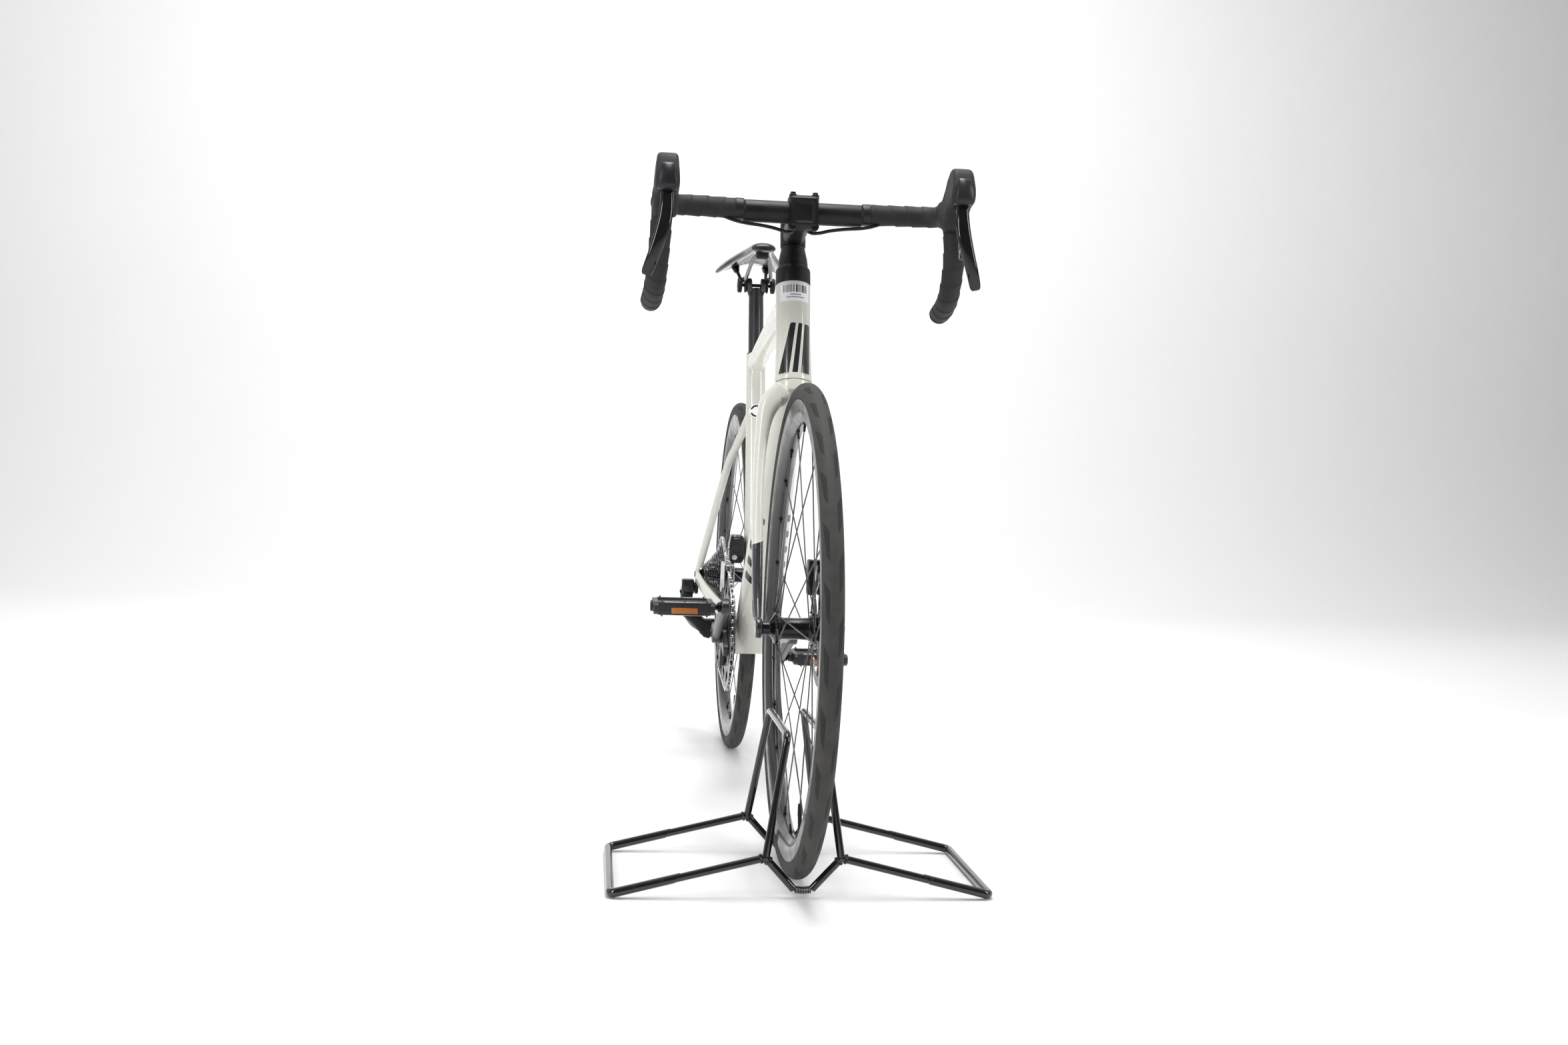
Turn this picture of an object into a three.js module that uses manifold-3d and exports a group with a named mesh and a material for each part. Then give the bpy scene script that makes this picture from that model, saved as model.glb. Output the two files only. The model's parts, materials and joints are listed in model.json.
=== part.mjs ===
// A road bicycle held upright by its front wheel in a tubular floor stand.
// Millimetres. +X is the rider's left, -Y is forward, +Z is up.
// The origin is on the floor, midway between the two wheel axles.
import * as THREE from "three";
import { mergeVertices } from "three/addons/utils/BufferGeometryUtils.js";
import Module from "manifold-3d";

const wasm = await Module();
wasm.setup();

// ---------------------------------------------------------------- driving dimensions
const GAP = 0.3; // air between pieces that touch
const CLEAR = 100; // how far a cutting tool reaches past what it cuts

const WHEELBASE = 990;
const TYRE_RADIUS = 339.5;
const TYRE_SECTION = 14; // radius of the inflated tyre's own section
const RIM_INNER = 284;
const RIM_OUTER = 316;
const RIM_HALF_WIDTH = 12.4;
const SPOKES_PER_WHEEL = 24;
const WHEEL_SIDES = 40;
const AXLE_RADIUS = 6;
const ROTOR_RADIUS = 80;
const ROTOR_THICKNESS = 1.8;
const ROTOR_X = { front: 30, rear: 52 };
const FRONT_FLANGES = [{ x: -30, radius: 22 }, { x: 20, radius: 22 }];
const REAR_FLANGES = [{ x: -22, radius: 24 }, { x: 33, radius: 22 }];

const HEAD_ANGLE = THREE.MathUtils.degToRad(73);
const HEAD_TOP = [0, -298.3, 829]; // where the steering axis leaves the head tube
const HEAD_LENGTH = 152.3;
const HEAD_TOP_RADIUS = 26;
const HEAD_FOOT_RADIUS = 27.5;
const STEERER_RADIUS = 14.3;
const HEADSET = { seat: 21, race: 20.1, bore: 14.9, height: 8 };

const BB = { y: 86, z: 269, halfWidth: 38, radius: 36 }; // bottom bracket shell
const BB_SEAT = 21; // radius of the bore that takes the bearings
const BB_LIP = 3; // how far the left bearing cup stands out of the shell
const BB_FACE = BB.halfWidth + BB_LIP;
const SPINDLE_RADIUS = 12;
const SEAT_ANGLE = THREE.MathUtils.degToRad(73.5);
const SEAT_TUBE_LENGTH = 510;
const SEATPOST_RADIUS = 13.6;
const POST_HEAD_DISTANCE = 644; // up the seat tube's line from the bottom bracket
const RAIL_LIFT = 9.5; // the saddle rails pass above the clamp bolt
const SADDLE_DROOP = 27; // how far the widest part's edges hang below its middle
const DROPOUT = { front: 50.2, rear: 71.4 }; // inner faces of the fork ends and frame ends

const CRANK_LENGTH = 172.5;
const CRANK_ANGLE = THREE.MathUtils.degToRad(20); // drive-side arm, forward and up
const CRANK_X = { inner: 58, outer: 74 };
const PEDAL = { near: 86, far: 184, halfLength: 47, halfHeight: 9, barrel: 9.5 };
const CHAIN_PITCH = 12.7;
const OUTER_RING = { teeth: 48, x: -47 };
const INNER_RING = { teeth: 35, x: -41 };
const SPROCKETS = [36, 32, 28, 24, 21, 19, 17, 15, 13, 12, 11, 10];
const SPROCKET_FIRST_X = -27.6;
const SPROCKET_STEP = 3.15;
const CHAIN_HALF_HEIGHT = 3.8;
const CHAIN_ROOM = CHAIN_HALF_HEIGHT + 1.2; // from a wheel's pitch circle to the wheel under it
const CHAIN_WIDTH = 5.6;
const JOCKEY_TEETH = 11;
const UPPER_JOCKEY = { y: 520, z: 234 };
const LOWER_JOCKEY = { y: 458, z: 180 };
const CAGE = { outer: [-35.5, -33.5], inner: [-21.7, -19.7] }; // the plates beside the jockeys
const FRONT_CHANGER = { y0: 112, y1: 150, z0: 388, z1: 437 };

const STEM_FOOT = 62.3; // distances up the steering axis from the head tube's top
const STEM_TOP = 101.5;
const BAR_CENTRE = [0, -385, 926];
const BAR_RADIUS = 11.9;
const BAR_CLAMP_RADIUS = 15.9;
const BAR_CLAMP_REACH = 84; // how far out on each side the bar keeps its clamp radius
const TAPE_INNER = 12.9;
const TAPE_OUTER = 15.6;
const TAPE_START = 3; // the sample of the bar's line where the tape begins
const HOOD_X = 201;
const LEVER_TOP = [-529, 921];

const STAND = {
  tube: 5.2, // radius of the folded frame's tube
  footTube: 6, // radius of the foot tube that sleeves over it
  centre: -508,
  halfDepth: 127,
  footX: 250,
  junction: { x: 50, z: 54 },
  valley: { x: 12.5, z: 12.6 }, // where each half ends at a spring
  top: { x: 24.5, z: 212, halfDepth: 108 },
};

// ---------------------------------------------------------------- solid helpers
const v = (x, y, z) => new THREE.Vector3(x, y, z);
const at = (p) => (p.isVector3 ? p.clone() : v(p[0], p[1], p[2]));

// A closed geometry as a manifold solid with its faces pointing out.
function solid(geometry) {
  const bare = geometry.index ? geometry.toNonIndexed() : geometry.clone();
  bare.deleteAttribute("normal");
  bare.deleteAttribute("uv");
  const merged = mergeVertices(bare, 1e-4);
  const found = merged.index.array;
  const kept = [];
  for (let i = 0; i < found.length; i += 3) {
    const [a, b, c] = [found[i], found[i + 1], found[i + 2]];
    if (a !== b && b !== c && c !== a) kept.push([a, b, c]);
  }
  const make = (order) =>
    new wasm.Manifold(
      new wasm.Mesh({
        numProp: 3,
        vertProperties: merged.attributes.position.array,
        triVerts: new Uint32Array(kept.flatMap(order)),
      }),
    );
  const made = make((t) => t);
  return made.volume() > 0 ? made : make(([a, b, c]) => [a, c, b]);
}

const join = (...solids) => solids.reduce((sum, next) => sum.add(next));
const cut = (from, ...tools) => tools.reduce((left, tool) => left.subtract(tool), from);
const moved = (geometry, x, y, z) => geometry.translate(x, y, z);

// Turns geometry built along +Y so that it runs from one point towards another.
function along(geometry, from, to) {
  const start = at(from);
  const direction = at(to).sub(start).normalize();
  geometry.applyQuaternion(new THREE.Quaternion().setFromUnitVectors(v(0, 1, 0), direction));
  return geometry.translate(start.x, start.y, start.z);
}

// A round bar between two points, tapering to a second radius if one is given.
function rod(from, to, radius, sides = 12, endRadius = radius) {
  const length = at(from).distanceTo(at(to));
  const cylinder = new THREE.CylinderGeometry(endRadius, radius, length, sides);
  return solid(along(cylinder.translate(0, length / 2, 0), from, to));
}

// A solid of revolution about a line: the profile lists [radius, distance along the line].
function turned(from, to, profile, sides = 14) {
  const outline = profile.map(([r, h]) => new THREE.Vector2(r, h));
  outline.push(outline[0].clone());
  return solid(along(new THREE.LatheGeometry(outline, sides), from, to));
}

// The same about the X axis through (y, z), with the profile's second value as x.
const turnedX = (y, z, profile, sides) => turned([0, y, z], [1, y, z], profile, sides);

const ringX = (y, z, inner, outer, x0, x1, sides) =>
  turnedX(y, z, [[inner, x0], [outer, x0], [outer, x1], [inner, x1]], sides);

const discX = (y, z, radius, x0, x1, sides) =>
  turnedX(y, z, [[0, x0], [radius, x0], [radius, x1], [0, x1]], sides);

const block = (x0, x1, y0, y1, z0, z1) =>
  solid(
    moved(
      new THREE.BoxGeometry(x1 - x0, y1 - y0, z1 - z0),
      (x0 + x1) / 2,
      (y0 + y1) / 2,
      (z0 + z1) / 2,
    ),
  );

// A route through given points, sampled exactly at them.
class Route extends THREE.Curve {
  constructor(points) {
    super();
    this.points = points;
  }
  getPoint(t) {
    const last = this.points.length - 1;
    const i = Math.min(last - 1, Math.floor(t * last));
    return this.points[i].clone().lerp(this.points[i + 1], t * last - i);
  }
  getPointAt(u) {
    return this.getPoint(u);
  }
  getTangentAt(u) {
    const last = this.points.length - 1;
    const i = Math.round(u * last);
    const before = this.points[Math.max(0, i - 1)];
    const here = this.points[i];
    const after = this.points[Math.min(last, i + 1)];
    const leaving = after.clone().sub(here).normalize();
    return here.clone().sub(before).normalize().add(leaving).normalize();
  }
}

// Corner points with each inner corner replaced by a bend of the given radius.
function bent(corners, radius, pieces = 4) {
  const points = [at(corners[0])];
  for (let i = 1; i < corners.length - 1; i++) {
    const corner = at(corners[i]);
    const back = at(corners[i - 1]).sub(corner).normalize();
    const on = at(corners[i + 1]).sub(corner).normalize();
    const reach = radius / Math.tan(back.angleTo(on) / 2);
    const start = corner.clone().addScaledVector(back, reach);
    const end = corner.clone().addScaledVector(on, reach);
    points.push(...new THREE.QuadraticBezierCurve3(start, corner, end).getPoints(pieces));
  }
  points.push(at(corners[corners.length - 1]));
  return points;
}

// A smooth row of points through a few given ones.
const smooth = (points, count) => new THREE.CatmullRomCurve3(points.map(at)).getSpacedPoints(count);

function circle(radius, sides) {
  const shape = new THREE.Shape();
  for (let i = 0; i <= sides; i++) {
    const turn = (2 * Math.PI * i) / sides;
    const [x, y] = [radius * Math.cos(turn), radius * Math.sin(turn)];
    if (i) shape.lineTo(x, y);
    else shape.moveTo(x, y);
  }
  return shape;
}

// A many-sided outline that lies on a flat: its flats are at the given radius.
function flatBottomed(radius, sides) {
  const half = Math.PI / sides;
  const corner = radius / Math.cos(half);
  const points = Array.from({ length: sides }, (_, i) => {
    const turn = half * (2 * i + 1);
    return new THREE.Vector2(corner * Math.cos(turn), corner * Math.sin(turn));
  });
  return new THREE.Shape(points);
}

function swept(points, shape) {
  const extrudePath = new Route(points);
  return solid(new THREE.ExtrudeGeometry(shape, { extrudePath, steps: points.length - 1 }));
}

const tube = (points, radius, sides = 8) => swept(points, circle(radius, sides));

// A skin over oval sections: each station is [x, y, z, width, depth], with the width along X.
function loft(stations, sides = 12, fullness = 2.4) {
  const centres = stations.map(at);
  const positions = [];
  const faces = [];
  centres.forEach((centre, k) => {
    const before = centres[Math.max(0, k - 1)];
    const after = centres[Math.min(centres.length - 1, k + 1)];
    const tangent = after.clone().sub(before).normalize();
    const across = v(1, 0, 0).addScaledVector(tangent, -tangent.x).normalize();
    const deep = tangent.clone().cross(across);
    const [, , , width, depth] = stations[k];
    for (let i = 0; i < sides; i++) {
      const turn = (2 * Math.PI * i) / sides;
      const rounded = (c) => Math.sign(c) * Math.abs(c) ** (2 / fullness);
      const point = centre
        .clone()
        .addScaledVector(across, (width / 2) * rounded(Math.cos(turn)))
        .addScaledVector(deep, (depth / 2) * rounded(Math.sin(turn)));
      positions.push(point.x, point.y, point.z);
      if (k === 0) continue;
      const [a, b] = [(k - 1) * sides + i, (k - 1) * sides + ((i + 1) % sides)];
      faces.push(a, b, b + sides, a, b + sides, a + sides);
    }
  });
  const last = (centres.length - 1) * sides;
  for (let i = 1; i < sides - 1; i++) {
    faces.push(0, i + 1, i, last, last + i, last + i + 1);
  }
  const geometry = new THREE.BufferGeometry();
  geometry.setAttribute("position", new THREE.Float32BufferAttribute(positions, 3));
  geometry.setIndex(faces);
  return solid(geometry);
}

// A flat plate: its outline is [y, z] points, and it spans x0 to x1.
function plate(outline, x0, x1, holes = []) {
  const shape = new THREE.Shape(outline.map(([y, z]) => new THREE.Vector2(y, z)));
  for (const hole of holes) {
    shape.holes.push(new THREE.Path(hole.map(([y, z]) => new THREE.Vector2(y, z))));
  }
  const slab = new THREE.ExtrudeGeometry(shape, { depth: x1 - x0, bevelEnabled: false });
  const turn = new THREE.Matrix4().makeBasis(v(0, 1, 0), v(0, 0, 1), v(1, 0, 0));
  return solid(slab.applyMatrix4(turn).translate(x0, 0, 0));
}

// ---------------------------------------------------------------- the scene graph
const bicycleOnStand = new THREE.Group();

const FINISH = {
  paint: { color: 0xdad9ce, roughness: 0.35, metalness: 0 },
  tyre: { color: 0x454542, roughness: 0.85, metalness: 0 },
  rubber: { color: 0x26272a, roughness: 0.8, metalness: 0 },
  black: { color: 0x141416, roughness: 0.3, metalness: 0.1 },
  matte: { color: 0x1c1d20, roughness: 0.6, metalness: 0.1 },
  enamel: { color: 0x121214, roughness: 0.2, metalness: 0.1 },
  steel: { color: 0x8d9095, roughness: 0.35, metalness: 1 },
  grey: { color: 0x6d7075, roughness: 0.4, metalness: 0.8 },
};

function add(name, body, finish) {
  const mesh = body.getMesh();
  const geometry = new THREE.BufferGeometry();
  const positions = new Float32Array(mesh.numVert * 3);
  for (let i = 0; i < mesh.numVert; i++) {
    const start = i * mesh.numProp;
    positions.set(mesh.vertProperties.subarray(start, start + 3), i * 3);
  }
  geometry.setAttribute("position", new THREE.BufferAttribute(positions, 3));
  geometry.setIndex(new THREE.BufferAttribute(mesh.triVerts, 1));
  geometry.computeVertexNormals();
  const made = new THREE.Mesh(geometry, new THREE.MeshStandardMaterial(FINISH[finish]));
  made.name = name;
  bicycleOnStand.add(made);
}

const SIDES = [["left", 1], ["right", -1]];
const steering = v(0, Math.cos(HEAD_ANGLE), Math.sin(HEAD_ANGLE));
const onSteering = (s) => at(HEAD_TOP).addScaledVector(steering, s);
const seatDirection = v(0, Math.cos(SEAT_ANGLE), Math.sin(SEAT_ANGLE));
const onSeatTube = (s) => v(0, BB.y, BB.z).addScaledVector(seatDirection, s);
const pitchRadius = (teeth) => CHAIN_PITCH / (2 * Math.sin(Math.PI / teeth));

// ---------------------------------------------------------------- stand
// Each half is one bent tube frame: two legs run in from the foot to a junction, drop to the
// springs, and rise to a loop beside the wheel.
function standHalf(side) {
  const { centre, halfDepth, footX, junction, valley, top, tube: radius, footTube } = STAND;
  const inFoot = 12;
  const legs = [-1, 1].map((end) => {
    const y = centre + end * halfDepth;
    const leg = bent(
      [
        [side * footX, y - end * inFoot, footTube],
        [side * footX, y, footTube],
        [side * junction.x, y, junction.z],
      ],
      10,
    );
    const drop = [v(side * junction.x, y, junction.z), v(side * (valley.x - 4), y, valley.z - 4)];
    const sleeve = leg.slice(0, -1);
    const knee = leg[leg.length - 1].clone().lerp(leg[leg.length - 2], 0.6);
    return join(tube([...sleeve, knee], footTube), tube(leg, radius), tube(drop, radius));
  });
  const loop = bent(
    [
      [side * junction.x, centre - halfDepth, junction.z - 4],
      [side * top.x, centre - top.halfDepth - 4, top.z],
      [side * top.x, centre + top.halfDepth - 4, top.z],
      [side * junction.x, centre + halfDepth, junction.z - 4],
    ],
    15,
  );
  const depths = [centre - halfDepth - CLEAR, centre + halfDepth + CLEAR];
  const springRoom = block(-valley.x, valley.x, ...depths, -CLEAR, junction.z);
  return cut(join(...legs, tube(loop, radius)), springRoom);
}

function standFootBar(side) {
  const { centre, halfDepth, footX, footTube } = STAND;
  const reach = halfDepth - 12 - GAP;
  const ends = [-1, 1].map((end) => v(side * footX, centre + end * reach, footTube));
  return swept(ends, flatBottomed(footTube, 8));
}

function standSpring(end) {
  const { centre, halfDepth, valley } = STAND;
  const y = centre + end * halfDepth;
  const reach = valley.x - GAP;
  return rod([-reach, y, valley.z], [reach, y, valley.z], 5.6, 12);
}

for (const [name, side] of SIDES) {
  add(`stand_${name}_half`, standHalf(side), "enamel");
  add(`stand_${name}_foot_bar`, standFootBar(side), "enamel");
}
add("stand_front_spring", standSpring(-1), "enamel");
add("stand_rear_spring", standSpring(1), "enamel");

// ---------------------------------------------------------------- wheels
const frontY = -WHEELBASE / 2;
const rearY = WHEELBASE / 2;

function tyre(y) {
  const section = [];
  const steps = 8;
  const opening = Math.acos((TYRE_RADIUS - TYRE_SECTION - RIM_OUTER - 0.5) / TYRE_SECTION);
  for (let i = 0; i <= steps; i++) {
    const turn = opening - Math.PI + ((2 * Math.PI - 2 * opening) * i) / steps;
    const radius = TYRE_RADIUS - TYRE_SECTION + TYRE_SECTION * Math.cos(turn);
    section.push([radius, TYRE_SECTION * Math.sin(turn)]);
  }
  return turnedX(y, TYRE_RADIUS, section, WHEEL_SIDES);
}

function rim(y) {
  const w = RIM_HALF_WIDTH;
  const section = [
    [RIM_OUTER, -w],
    [RIM_OUTER, w],
    [RIM_OUTER - 18, w + 0.4],
    [RIM_INNER + 3, 6],
    [RIM_INNER, 0],
    [RIM_INNER + 3, -6],
    [RIM_OUTER - 18, -w - 0.4],
  ];
  return turnedX(y, TYRE_RADIUS, section, WHEEL_SIDES);
}

// Tangential spokes run from a ring at each hub flange to a hoop of nipples under the rim.
function spokes(y, flanges) {
  const hoop = RIM_INNER - 1.2;
  const pieces = [ringX(y, TYRE_RADIUS, hoop - 1.8, hoop, -2, 2, SPOKES_PER_WHEEL)];
  const crossing = THREE.MathUtils.degToRad(62);
  const perFlange = SPOKES_PER_WHEEL / 2;
  for (const [f, flange] of flanges.entries()) {
    const { x, radius } = flange;
    pieces.push(ringX(y, TYRE_RADIUS, radius + 0.8, radius + 2.6, x - 2.2, x + 2.2, 16));
    for (let i = 0; i < perFlange; i++) {
      const rimTurn = (2 * Math.PI * (i + f / 2)) / perFlange;
      const hubTurn = rimTurn + (i % 2 ? crossing : -crossing);
      const point = (r, turn, px) =>
        v(px, y + r * Math.cos(turn), TYRE_RADIUS + r * Math.sin(turn));
      const start = point(radius + 1.7, hubTurn, x + (i % 2 ? 1.5 : -1.5));
      pieces.push(rod(start, point(hoop - 0.9, rimTurn, 0), 0.9, 3));
    }
  }
  return join(...pieces);
}

function frontHub() {
  const bore = AXLE_RADIUS + GAP;
  const section = [
    [bore, -50],
    [10, -50],
    [10, -36],
    [FRONT_FLANGES[0].radius - 7, -35],
    [FRONT_FLANGES[0].radius, -32],
    [FRONT_FLANGES[0].radius, -28],
    [15, -25],
    [15.5, 16],
    [FRONT_FLANGES[1].radius, 18],
    [FRONT_FLANGES[1].radius, 22],
    [17, 25],
    [17, 33],
    [10, 34],
    [10, 50],
    [bore, 50],
  ];
  return turnedX(frontY, TYRE_RADIUS, section, 16);
}

function rearHub() {
  const bore = AXLE_RADIUS + GAP;
  const freehub = 16.5;
  const section = [
    [bore, -71],
    [10, -71],
    [10, -66],
    [freehub, -65.5],
    [freehub, -25.5],
    [REAR_FLANGES[0].radius, -24],
    [REAR_FLANGES[0].radius, -20],
    [15, -16],
    [14, 26],
    [REAR_FLANGES[1].radius, 31],
    [REAR_FLANGES[1].radius, 35],
    [17, 39],
    [17, 55],
    [10, 56],
    [10, 71],
    [bore, 71],
  ];
  return turnedX(rearY, TYRE_RADIUS, section, 16);
}

// A disc with six windows between its arms.
function rotor(y, x) {
  const ring = (radius, count) =>
    Array.from({ length: count }, (_, i) => {
      const turn = (2 * Math.PI * i) / count;
      return [y + radius * Math.cos(turn), TYRE_RADIUS + radius * Math.sin(turn)];
    });
  const arms = 6;
  const windows = Array.from({ length: arms }, (_, k) => {
    const middle = (2 * Math.PI * (k + 0.5)) / arms;
    const corner = (r, spread) => [
      y + r * Math.cos(middle + spread),
      TYRE_RADIUS + r * Math.sin(middle + spread),
    ];
    return [
      corner(30, -0.3),
      corner(63, -0.42),
      corner(64, 0),
      corner(63, 0.42),
      corner(30, 0.3),
    ];
  });
  const holes = [ring(17.8, 12).reverse(), ...windows];
  return plate(ring(ROTOR_RADIUS, 28), x - ROTOR_THICKNESS / 2, x + ROTOR_THICKNESS / 2, holes);
}

for (const [name, y, flanges, hub, rotorX] of [
  ["front", frontY, FRONT_FLANGES, frontHub, ROTOR_X.front],
  ["rear", rearY, REAR_FLANGES, rearHub, ROTOR_X.rear],
]) {
  add(`${name}_tyre`, tyre(y), "tyre");
  add(`${name}_rim`, rim(y), "black");
  add(`${name}_spokes`, spokes(y, flanges), "steel");
  add(`${name}_hub`, hub(), "black");
  add(`${name}_rotor`, rotor(y, rotorX), "steel");
}

// The sprockets as a stepped stack, largest inboard; the chain lies on the largest.
function cassette() {
  const bore = 17;
  const section = [];
  SPROCKETS.forEach((teeth, k) => {
    const x = SPROCKET_FIRST_X - (k - 0.5) * SPROCKET_STEP;
    const radius = pitchRadius(teeth) + (k === 0 ? -CHAIN_ROOM : 2);
    section.push([radius, x], [radius, x - SPROCKET_STEP]);
  });
  const lastX = SPROCKET_FIRST_X - (SPROCKETS.length - 0.5) * SPROCKET_STEP;
  section.push([bore, lastX], [bore, SPROCKET_FIRST_X + SPROCKET_STEP / 2]);
  return turnedX(rearY, TYRE_RADIUS, section, 20);
}
add("cassette", cassette(), "steel");

// ---------------------------------------------------------------- frame
function headTube() {
  const section = [
    [0, -HEAD_LENGTH],
    [HEAD_FOOT_RADIUS, -HEAD_LENGTH],
    [25.4, -HEAD_LENGTH * 0.55],
    [HEAD_TOP_RADIUS, -18],
    [HEAD_TOP_RADIUS, 0],
    [0, 0],
  ];
  return turned(HEAD_TOP, onSteering(1), section, 16);
}

function chainstay(side) {
  return loft([
    [side * 22, 92, 264, 22, 44],
    [side * 29.5, 165, 276, 14, 34],
    [side * 45, 260, 292, 16, 28],
    [side * 66, 400, 318, 15, 22],
    [side * 75.4, 486, 335, 8, 28],
  ]);
}

function seatstay(side) {
  return loft([
    [side * 7, 199, 652, 16, 20],
    [side * 13, 216, 636, 16, 18],
    [side * 28, 262, 590, 14, 16],
    [side * 41, 306, 544, 14, 17],
    [side * 68, 465, 378, 14, 17],
    [side * 75.4, 492, 345, 8, 22],
  ]);
}

function frame() {
  const dropouts = [];
  for (const [, side] of SIDES) {
    const faces = [side * DROPOUT.rear, side * (DROPOUT.rear + 8)].sort((a, b) => a - b);
    dropouts.push(discX(rearY, TYRE_RADIUS, 16, ...faces, 18));
  }
  const hanger = plate(
    [[488, 336], [505, 340], [516, 312], [506, 299], [494, 306]],
    -DROPOUT.rear - 7,
    -DROPOUT.rear - 0.5,
  );
  const downTube = loft([
    [0, -334, 726, 46, 50],
    [0, -270, 653, 47, 47],
    [0, -130, 495, 47, 46],
    [0, -10, 359, 52, 48],
    [0, 52, 288, 66, 56],
    [0, 84, 256, 72, 56],
  ], 16);
  const topTube = loft([
    [0, -306, 800, 44, 46],
    [0, -240, 797, 42, 42],
    [0, -80, 783, 37, 33],
    [0, 90, 762, 33, 28],
    [0, 224, 741, 31, 28],
  ]);
  const foot = onSeatTube(0);
  const middle = onSeatTube(SEAT_TUBE_LENGTH * 0.5);
  const top = onSeatTube(SEAT_TUBE_LENGTH);
  const seatTube = loft([
    [...foot.toArray(), 46, 44],
    [...onSeatTube(90).toArray(), 37, 40],
    [...middle.toArray(), 35.5, 37],
    [...top.toArray(), 34.5, 36],
  ]);
  const shell = discX(BB.y, BB.z, BB.radius, -BB.halfWidth, BB.halfWidth, 18);
  const stays = SIDES.flatMap(([, side]) => [chainstay(side), seatstay(side)]);
  const whole = join(
    headTube(),
    downTube,
    topTube,
    seatTube,
    shell,
    ...stays,
    ...dropouts,
    hanger,
  );
  const postBore = SEATPOST_RADIUS + GAP;
  return cut(
    whole,
    rod(onSteering(-HEAD_LENGTH - 5), onSteering(5), HEADSET.seat, 14),
    rod(onSeatTube(SEAT_TUBE_LENGTH - 240), onSeatTube(SEAT_TUBE_LENGTH + 20), postBore + 0.3, 14),
    discX(BB.y, BB.z, BB_SEAT, -BB.halfWidth - 5, BB.halfWidth + 5, 14),
    discX(rearY, TYRE_RADIUS, AXLE_RADIUS + GAP, -CLEAR, CLEAR, 14),
    discX(rearY, TYRE_RADIUS, 24, -DROPOUT.rear, DROPOUT.rear, 16),
    rod(onSteering(-HEAD_LENGTH - 40), onSteering(-HEAD_LENGTH), 45, 16),
  );
}

add("frame", frame(), "paint");

function headsetBearing(from) {
  const { race, bore, height } = HEADSET;
  return turned(
    onSteering(from),
    onSteering(from + 1),
    [[bore, 0], [race, 0], [race, height], [bore, height]],
    14,
  );
}
add("upper_headset_bearing", headsetBearing(-HEADSET.height - 1), "steel");
add("lower_headset_bearing", headsetBearing(-HEAD_LENGTH + 1), "steel");

add(
  "bottom_bracket",
  ringX(BB.y, BB.z, SPINDLE_RADIUS + 0.5, BB_SEAT - 0.9, -BB.halfWidth, BB_FACE, 16),
  "black",
);
add(
  "rear_thru_axle",
  join(
    discX(rearY, TYRE_RADIUS, AXLE_RADIUS, -80.5, 81, 14),
    discX(rearY, TYRE_RADIUS, 9, 79.8, 84, 14),
  ),
  "black",
);

// ---------------------------------------------------------------- seatpost and saddle
const POST_HEAD = onSeatTube(POST_HEAD_DISTANCE);

function seatpost() {
  const { y, z } = POST_HEAD;
  const shaft = rod(onSeatTube(SEAT_TUBE_LENGTH - 120), onSeatTube(636), SEATPOST_RADIUS, 16);
  return cut(join(shaft, discX(y, z, 13, -17.5, 17.5, 18)), discX(y, z, 3.6, -CLEAR, CLEAR, 10));
}

function saddleClamp() {
  const { y, z } = POST_HEAD;
  return join(
    discX(y, z, 3, -30, 30, 8),
    discX(y, z, 14, 26.2, 34, 18),
    discX(y, z, 14, -34, -26.2, 18),
  );
}

function saddleRails() {
  const { y, z } = POST_HEAD;
  const rails = SIDES.map(([, side]) =>
    tube(
      smooth(
        [
          [side * 6, 176, 930],
          [side * 14, 192, 925],
          [side * 22, y - 38, z + RAIL_LIFT + 1],
          [side * 22, y, z + RAIL_LIFT],
          [side * 22, y + 45, z + RAIL_LIFT + 2],
          [side * 27, 368, 921],
          [side * 28, 380, 925],
        ],
        14,
      ),
      3.5,
      8,
    ),
  );
  return join(...rails, block(-10, 10, 170, 182, 925, 933));
}

// The saddle's edges droop, most of all under the wide rear part.
function saddle() {
  const flat = loft([
    [0, 146, 941, 34, 8],
    [0, 156, 943, 42, 14],
    [0, 190, 945, 46, 17],
    [0, 240, 946, 56, 18],
    [0, 290, 946, 82, 19],
    [0, 335, 946, 114, 20],
    [0, 375, 947, 134, 20],
    [0, 400, 948, 126, 16],
    [0, 410, 949, 100, 8],
  ], 20);
  return flat.warp((point) => {
    point[2] -= SADDLE_DROOP * (Math.abs(point[0]) / 67) ** 2;
  });
}
add("seatpost", seatpost(), "black");
add("saddle_clamp", saddleClamp(), "black");
add("saddle_rails", saddleRails(), "grey");
add("saddle", saddle(), "black");

// ---------------------------------------------------------------- fork
const CROWN = -HEAD_LENGTH - 0.6;

function forkLeg(side) {
  return loft([
    [side * 16, -350, 672, 34, 46],
    [side * 36, -354, 650, 30, 44],
    [side * 45, -363, 612, 20, 38],
    [side * 50.5, -381, 540, 15, 33],
    [side * 51.6, -409, 453, 16, 29],
    [side * 53.6, -452, 378, 14, 26],
    [side * 55.2, -486, 340, 9.6, 26],
  ]);
}

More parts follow.
